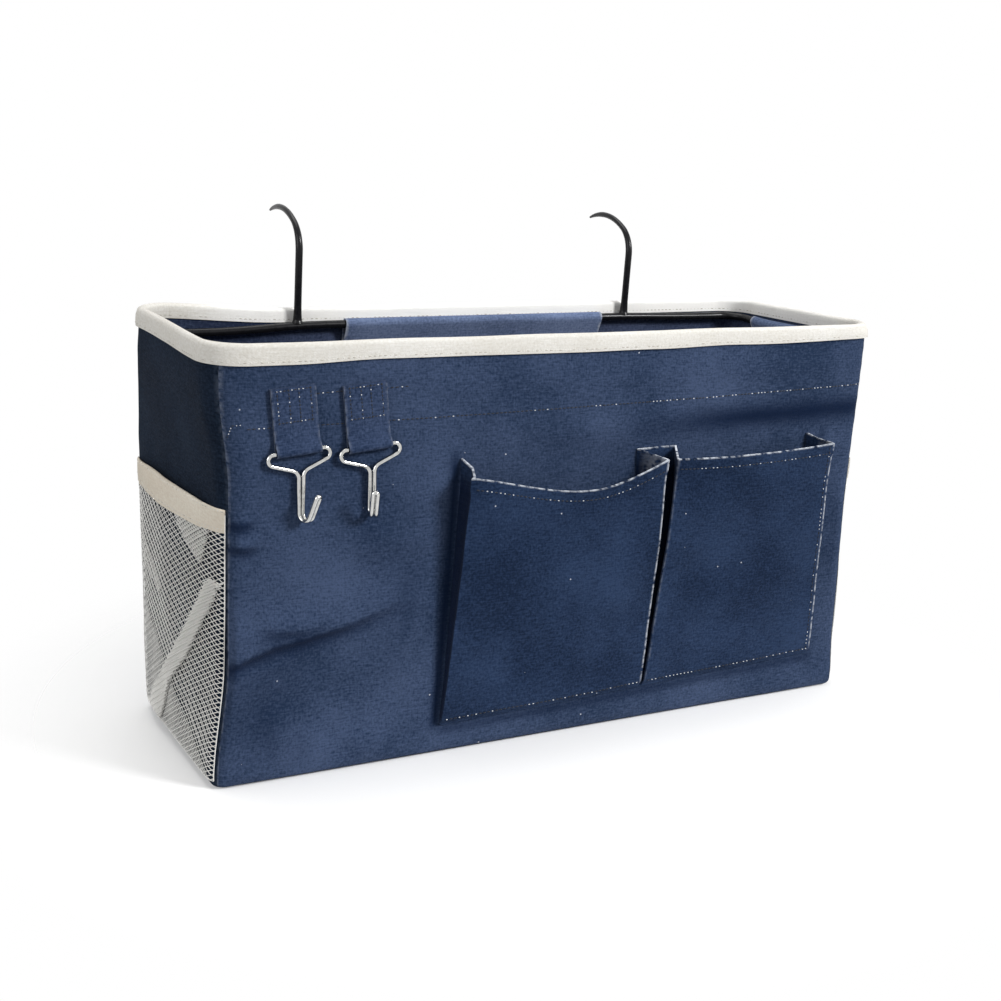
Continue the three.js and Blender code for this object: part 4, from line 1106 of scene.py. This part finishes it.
# %% [markdown]
# ## The net's tape
# A beige tape is folded over the net's top edge and sewn through. It rises a little along the middle
# of the side, because the net under it is slack, and both its ends are caught in the corner seams.

# %% The net's tape
EDGE_DROP, ROW_DROP = 12.6, 10.6  # from the net's top down to the tape's lower edge and to its seam


def tape_top(share):
    rise = 1.8 * sin(pi * share) ** 0.7 - 1.2 * smooth(0.6, 1, share) - 2.8 * smooth(0.35, 0, share)
    return NET_HIGH + GAP + rise


def on_tape(wall, share, z, off):
    """A place off the net's tape, which is pressed flat at its ends."""
    return net_place(wall, share, z, off * (1 - 0.6 * at_ends(share)))


def net_tape(side, wall):
    rings = []
    for share in spread(0, 1, 46):
        top = tape_top(share)
        low = NET_HIGH - EDGE_DROP + 0.5 * bumps(share * 6, 2.2, 4.4) - 3.0 * smooth(0.25, 0, share)
        rings.append([on_tape(wall, share, z, off) for off, z in (
            (-0.9, low), (-0.9, top - 0.6), (-0.5, top + 0.4), (0.4, top + 0.8), (1.3, top + 0.4),
            (1.7, top - 0.6), (1.9, (top + low) / 2), (1.7, low), (0.9, low), (0.9, top - 0.7),
            (0.4, top - 0.2), (0.0, top - 0.7), (0.0, low))])
    runs = run_of([ring[3] for ring in rings])
    uvs = [[(run, across) for across in run_of(ring)] for run, ring in zip(runs, rings)]
    piece = loft(f"{side}_net_tape", rings, beige_tape, uvs, sharp=50)
    dress(piece, f"{side}_net_binding", "beige_tape", (runs[-1], 29.0), held="folded",
          rests_on=[f"{side}_side_panel"])
    return runs[-1]


print("net tapes are", [round(net_tape(side, WALLS[side])) for side in ("left", "right")], "mm long")

# %% [markdown]
# ## Tabs and small hooks
# A tab is a strap folded round the hook's wire, with its two tails sewn to the front in a box of
# stitches. It is sewn on a little askew. The hook is one nickel wire bent double: out of the tab's
# fold on both sides, in along two arms, down together, and round into a bowl.

# %% Tabs
TAB_Z, TAB_LEAN, TAB_LENGTH, TAB_WIDTH = HEIGHT - 56.5, radians(5), 34.5, 25.0
KEY_WIRE, SLACK = 1.2, 0.4


def tab(side, x):
    face = front_plane(x, TAB_Z)
    tilt = -atan((front_plane(x, TAB_Z + TAB_LENGTH) - face) / TAB_LENGTH)
    at = (Matrix.Translation((x, face - GAP - KEY_WIRE - SLACK - CANVAS, TAB_Z))
          @ Matrix.Rotation(tilt, 4, "X") @ Matrix.Rotation(-TAB_LEAN, 4, "Y"))
    line = strap_line(KEY_WIRE + SLACK, CANVAS, 0.0, TAB_LENGTH)
    piece = strap(f"{side}_tab_cloth", line, CANVAS, TAB_WIDTH, lambda a, o, u: at @ Vector((a, o, -u)),
                  tab_canvas, 18, 0.25, x, edge_wear=0.16)
    dress(piece, f"{side}_hook_tab", "navy_canvas", (TAB_WIDTH, run_of(line)[-1]), held="folded",
          rests_on=["front_panel"])
    return at


TABS = {"left": (-168.5, radians(28)), "right": (-128.0, radians(-14))}
tab_places = {side: tab(side, x) for side, (x, _) in TABS.items()}
print("tabs made")


# %% Small hooks
def small_hook(side, at, twist):
    strand, half, shoulder, dip, drop = KEY_WIRE + 0.15, TAB_WIDTH / 2, 3.2, radians(20), 19
    shoulder_x = half + KEY_WIRE + SLACK
    arm_run = (shoulder_x + shoulder * sin(dip) - 5 * (1 - sin(dip)) - strand) / cos(dip)
    arm = bent_run((half - 8, 0), 0.0, [
        (shoulder_x - half + 8, 0, 0), (0, shoulder, -pi + dip), (arm_run, 0, 0), (0, 5.0, pi / 2 - dip)],
        radians(10))
    neck = arm[-1].y
    bowl = bent_run((0, neck - drop), -pi / 2, [(0, 3.8, pi - radians(23)), (12, 0, 0)], radians(9))
    across, forward = Vector((cos(twist), sin(twist), 0)), Vector((sin(twist), -cos(twist), 0))
    in_bowl = [forward * p.x + Vector((0, 0, p.y)) for p in bowl]

    def side_of(s):
        line = [Vector((s * p.x, 0, p.y)) for p in arm]
        for t in spread(0.0, 1.0, 12)[1:-1]:
            turned = twist * smooth(0, 1, t)
            line.append(Vector((s * strand * cos(turned), s * strand * sin(turned), neck - drop * t)))
        return line + [p + across * (s * strand) for p in in_bowl]

    ahead = (in_bowl[-1] - in_bowl[-2]).normalized()
    turn_back = [in_bowl[-1] + across * (strand * cos(a)) + ahead * (strand * sin(a))
                 for a in spread(0.0, pi, 12)[1:-1]]
    plumb, centre = Matrix.Rotation(TAB_LEAN, 3, "Y"), Vector((0, 0, neck))
    whole = side_of(1) + turn_back + side_of(-1)[::-1]
    line = [at @ (plumb @ (p - centre) + centre if p.z < neck else p) for p in whole]
    body = f"{side}_key_hook"
    hook = wire(body + "_wire", line, KEY_WIRE, nickel_wire, body, sides=14)
    dress(hook, f"{side}_utility_hook", "nickel_wire")


for side, (x, twist) in TABS.items():
    small_hook(side, tab_places[side], twist)
print("small hooks made")

# %% [markdown]
# ## Stitches
# Every seam is a row of short thread bars. A Geometry Nodes tree walks along the seam lines, sets one
# bar at each step and turns it along the line. A random value on each bar, with a fixed seed, tells
# the thread's finish how pale it is: most stitches sink into the navy, and a few are painted pale as
# highlights where they would catch the light.

# %% A tree for stitches
STITCH = ["Step", "Length", "Thickness", "Pale share"]


def stitch_tree():
    given, add, close = new_tree("stitch_row", STITCH)
    curves = add("GeometryNodeMeshToCurve", {"Mesh": given["Geometry"]})
    spaced = add("GeometryNodeResampleCurve", {"Curve": curves, "Length": given["Step"]}, mode="LENGTH")
    aligned = add("FunctionNodeAlignRotationToVector", {"Vector": add("GeometryNodeInputTangent")}, axis="X")
    bar = add("GeometryNodeMeshIcoSphere", {"Radius": 0.5, "Subdivisions": 1})
    # A random share of the bars is marked for the painted highlight.
    chance = add("FunctionNodeRandomValue", {"Seed": 7}, output=1, data_type="FLOAT")
    pale = add("ShaderNodeMath", {0: chance, 1: given["Pale share"]}, operation="LESS_THAN")
    shorter = add("ShaderNodeMath", {0: pale, 1: -0.5, 2: 1.0}, operation="MULTIPLY_ADD")
    length = add("ShaderNodeMath", {0: given["Length"], 1: shorter}, operation="MULTIPLY")
    size = add("ShaderNodeCombineXYZ", {0: length, 1: given["Thickness"], 2: given["Thickness"]})
    bars = add("GeometryNodeInstanceOnPoints",
               {"Points": spaced, "Instance": bar, "Rotation": aligned, "Scale": size})
    return close(add("GeometryNodeStoreNamedAttribute", {"Geometry": bars, "Name": "pale", "Value": pale},
                     data_type="FLOAT", domain="INSTANCE"))


stitch_row = stitch_tree()
print(stitch_row.name, "has", len(stitch_row.nodes), "nodes")


def sewn(name, lines, thread, step, length, thickness, pale, firm=False):
    """Sets bars along seam lines: their step, length and thickness, and the share of them painted pale as
    highlights.
    """
    values = dict(zip(STITCH, (step * MM, length * MM, thickness * MM, pale)))
    piece = run_tree(name, lines, stitch_row, values, thread, firm)
    print(name, len(piece.data.polygons), "faces")


# %% [markdown]
# ## Seams on the front
# The long seam under the rim holds the front sleeve. The tabs have a box of stitches each, and the
# pockets are sewn along their hems, their bottom and their right edge.

# %% Seams on the front
def over_canvas(x, z, lift):
    """A place just off the front canvas, also where the canvas turns round a corner."""
    wall, radius = WALLS["front"], corner_radius(z)
    past = abs(x) - (wall.half - radius)
    if past <= 0:
        return Vector((x, front_face(x, z) - lift, z))
    turn = min(asin(min(past / radius, 1)), SEAM_TURN - 0.05)
    station = ((1 + copysign(1, x)) / 2, copysign(turn, x))
    return wall_point(wall, station, -canvas_folds("front", flat_place(wall, station, z), z, turn) - lift, z)


def on_front(*points):
    """A seam line over the front canvas through (x, z) places."""
    line = []
    for (x0, z0), (x1, z1) in zip(points, points[1:]):
        spans = max(int(hypot(x1 - x0, z1 - z0) / 2.0), 1)
        line += list(zip(spread(x0, x1, spans), spread(z0, z1, spans)))[:-1]
    return [over_canvas(x, z, 0.12) for x, z in line + [points[-1]]]


OFF_CLOTH = 0.15  # how far the pockets' and the tape's stitches stand off the cloth


def pocket_seam(rise, second, start=0.02, end=0.98, count=70):
    """A line of stitches across one pocket face at a share of its height."""
    left, right, depth, corners = pocket_corners(rise)
    face = corners[SECOND_FACE if second else FIRST_FACE:]
    line = []
    for t in spread(start, end, count):
        j = max(k for k in range(FACE_POINTS) if FACE_SHARES[k] <= t)
        part = (t - FACE_SHARES[j]) / (FACE_SHARES[j + 1] - FACE_SHARES[j])
        x, out, sag = (a + (b - a) * part for a, b in zip(face[j], face[j + 1]))
        z = pocket_height(x, out, sag, left, right, depth, rise)
        off = out + CANVAS / 2 + hem_at(rise) + pocket_ripple(x, z, rise) + OFF_CLOTH
        line.append(Vector((x, front_face(x, z) - off, z)))
    return line


def tab_seams(at):
    half, low, high, inset = TAB_WIDTH / 2 - 3.2, 16, 33, 6.5
    upright = [((x, x), (low, high)) for x in (-half, half, -half + inset, half - inset)]
    level = [((-half, half), (u, u)) for u in (high, low)]
    return [[at @ Vector((x, 0.38, u)) for x, u in zip(spread(*xs, 12), spread(*us, 12))]
            for xs, us in upright[:2] + level + upright[2:]]


HEM_ROW, BOTTOM_ROW = 0.957, 0.03
front_seams = [on_front((-197, 201.2), (-150, 201.4), (-109, 201.8), (0, 203.0), (50, 203.6)),
               on_front((-157, 218.4), (-143.5, 219.0)), on_front((-117.5, 219.5), (-106, 220.0))]
pocket_seams = [pocket_seam(row, second) for row in (HEM_ROW, BOTTOM_ROW) for second in (False, True)]
pocket_seams.append([pocket_seam(rise, True, 0.978, 0.98, count=1)[0] for rise in spread(0.04, 0.98, 59)])
seam_end = [on_front((52, 203.7), (100, 204.2), (206, 207.2))]
tacks = [on_front((-208.2, 197.2), (-206.2, 201.8)), on_front((-205.0, 203.2), (-201.4, 203.5))]
tab_rows = [line for at in tab_places.values() for line in tab_seams(at)]
sewn("front_stitches", front_seams, navy_thread, 2.7, 2.3, 0.7, 0.16)
sewn("front_seam_end", seam_end, navy_thread, 2.4, 2.2, 0.75, 0.45)
sewn("front_tacks", tacks, navy_thread, 1.5, 1.6, 0.55, 0.7)
sewn("pocket_stitches", pocket_seams, navy_thread, 2.7, 2.2, 0.65, 0.35)
sewn("tab_stitches", tab_rows, navy_thread, 2.0, 1.8, 0.65, 0.28, firm=True)


# %% Seams on the tapes
def rim_seam(inner):
    line = []
    for wall, station in RIM_STATIONS:
        out, _, drop = rim_shape(wall_point(wall, station, 0, HEIGHT))
        inset, z = ((STACK + GAP + TAPE + 0.1, HEIGHT - INNER_ROW) if inner
                    else (-GAP - TAPE - out - OFF_CLOTH, HEIGHT - OUTER_ROW - drop))
        line.append(wall_point(wall, station, inset, z))
    return line + [line[0]]


tape_rows = []
for side in ("left", "right"):
    shares = spread(0.01, 0.99, 60)
    tape_rows.append([on_tape(WALLS[side], share, NET_HIGH - ROW_DROP, 1.85) for share in shares])
    # a row close to the tape's fold, where its thread shows white; most bars on the tape rows are painted
    # pale as highlights
    tape_rows.append([on_tape(WALLS[side], share, tape_top(share) - 0.4, 1.6) for share in shares])
sewn("rim_stitches", [rim_seam(False), rim_seam(True)], cream_thread, 3.0, 2.2, 0.55, 0.5)
sewn("net_tape_stitches", tape_rows, cream_thread, 2.4, 2.2, 0.55, 0.8)

# %% [markdown]
# ## Studio
# A pale floor, a white surround and large soft lamps, as for a catalogue. The key lamp is in front and
# to the right, so the left side falls into shade as it does in the photograph. What the camera and the
# metal see is white, while the cloth is lit by a lower level.

# %% Studio
FLOOR_RADIUS, FLOOR_SIDES, SINK = 1.6, 96, 0.0004
LIT, SEEN = 0.4, 1.0  # the surround's level for the cloth, and for what the camera and the metal see


def floor():
    """A round pale floor that fades out to the white surround."""
    mesh = bpy.data.meshes.new("floor")
    turns = [2 * pi * i / FLOOR_SIDES for i in range(FLOOR_SIDES)]
    edge = [(FLOOR_RADIUS * cos(turn), FLOOR_RADIUS * sin(turn), 0) for turn in turns]
    mesh.from_pydata(edge, [], [tuple(range(FLOOR_SIDES))])
    piece = show("floor", mesh)
    piece.location.z = -SINK
    g = Graph("floor")
    place = g.node("ShaderNodeTexCoord", output=3)
    away = g.node("ShaderNodeVectorMath", {0: place}, output=1, operation="LENGTH")
    shown = g.node("ShaderNodeMapRange", {"Value": away, 1: 0.16, 2: 0.36, 3: 1.0, 4: 0.0},
                   interpolation_type="SMOOTHSTEP")
    mesh.materials.append(g.finish(Base_Color=(0.93, 0.93, 0.93, 1), Roughness=0.9, Alpha=shown))
    piece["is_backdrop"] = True


def lamp(name, place, aim, size, watts):
    made = show(name, bpy.data.lights.new(name, "AREA"))
    made.data.shape, made.data.size, made.data.energy = "SQUARE", size, watts
    made.location = place
    made.rotation_mode = "QUATERNION"
    made.rotation_quaternion = (Vector(aim) - Vector(place)).to_track_quat("-Z", "Y")


def surround():
    world = bpy.data.worlds.new("studio")
    world.use_nodes = True
    tree = world.node_tree
    tree.nodes.clear()
    rays = add_node(tree, "ShaderNodeLightPath").outputs
    seen = rays["Is Camera Ray"]
    for other in ("Is Glossy Ray", "Is Transmission Ray"):
        seen = add_node(tree, "ShaderNodeMath", {0: seen, 1: rays[other]}, operation="MAXIMUM").outputs[0]
    level = add_node(tree, "ShaderNodeMapRange", {0: seen, 3: LIT, 4: SEEN}).outputs[0]
    sky = add_node(tree, "ShaderNodeBackground", {0: (1, 1, 1, 1), 1: level}).outputs[0]
    add_node(tree, "ShaderNodeOutputWorld", {0: sky})
    bpy.context.scene.world = world


floor()
surround()
lamp("key", (1.1, -1.4, 1.2), (0, 0, 0.12), 0.5, 45)
lamp("fill", (-1.7, -0.5, 0.8), (0, 0, 0.12), 1.0, 12)
lamp("top", (-0.1, 0.4, 1.8), (0, 0, 0.15), 1.2, 15)
bpy.context.scene.view_settings.view_transform = "Standard"
print("lamps:", len(bpy.data.lights))

# %% Finish
low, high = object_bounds()
{"cad": cad_box, "visual": [list(low), list(high)]}
print("cad box", [[round(v * 1000, 1) for v in c] for c in cad_box])
print("visual box", [[round(v * 1000, 1) for v in c] for c in (low, high)])
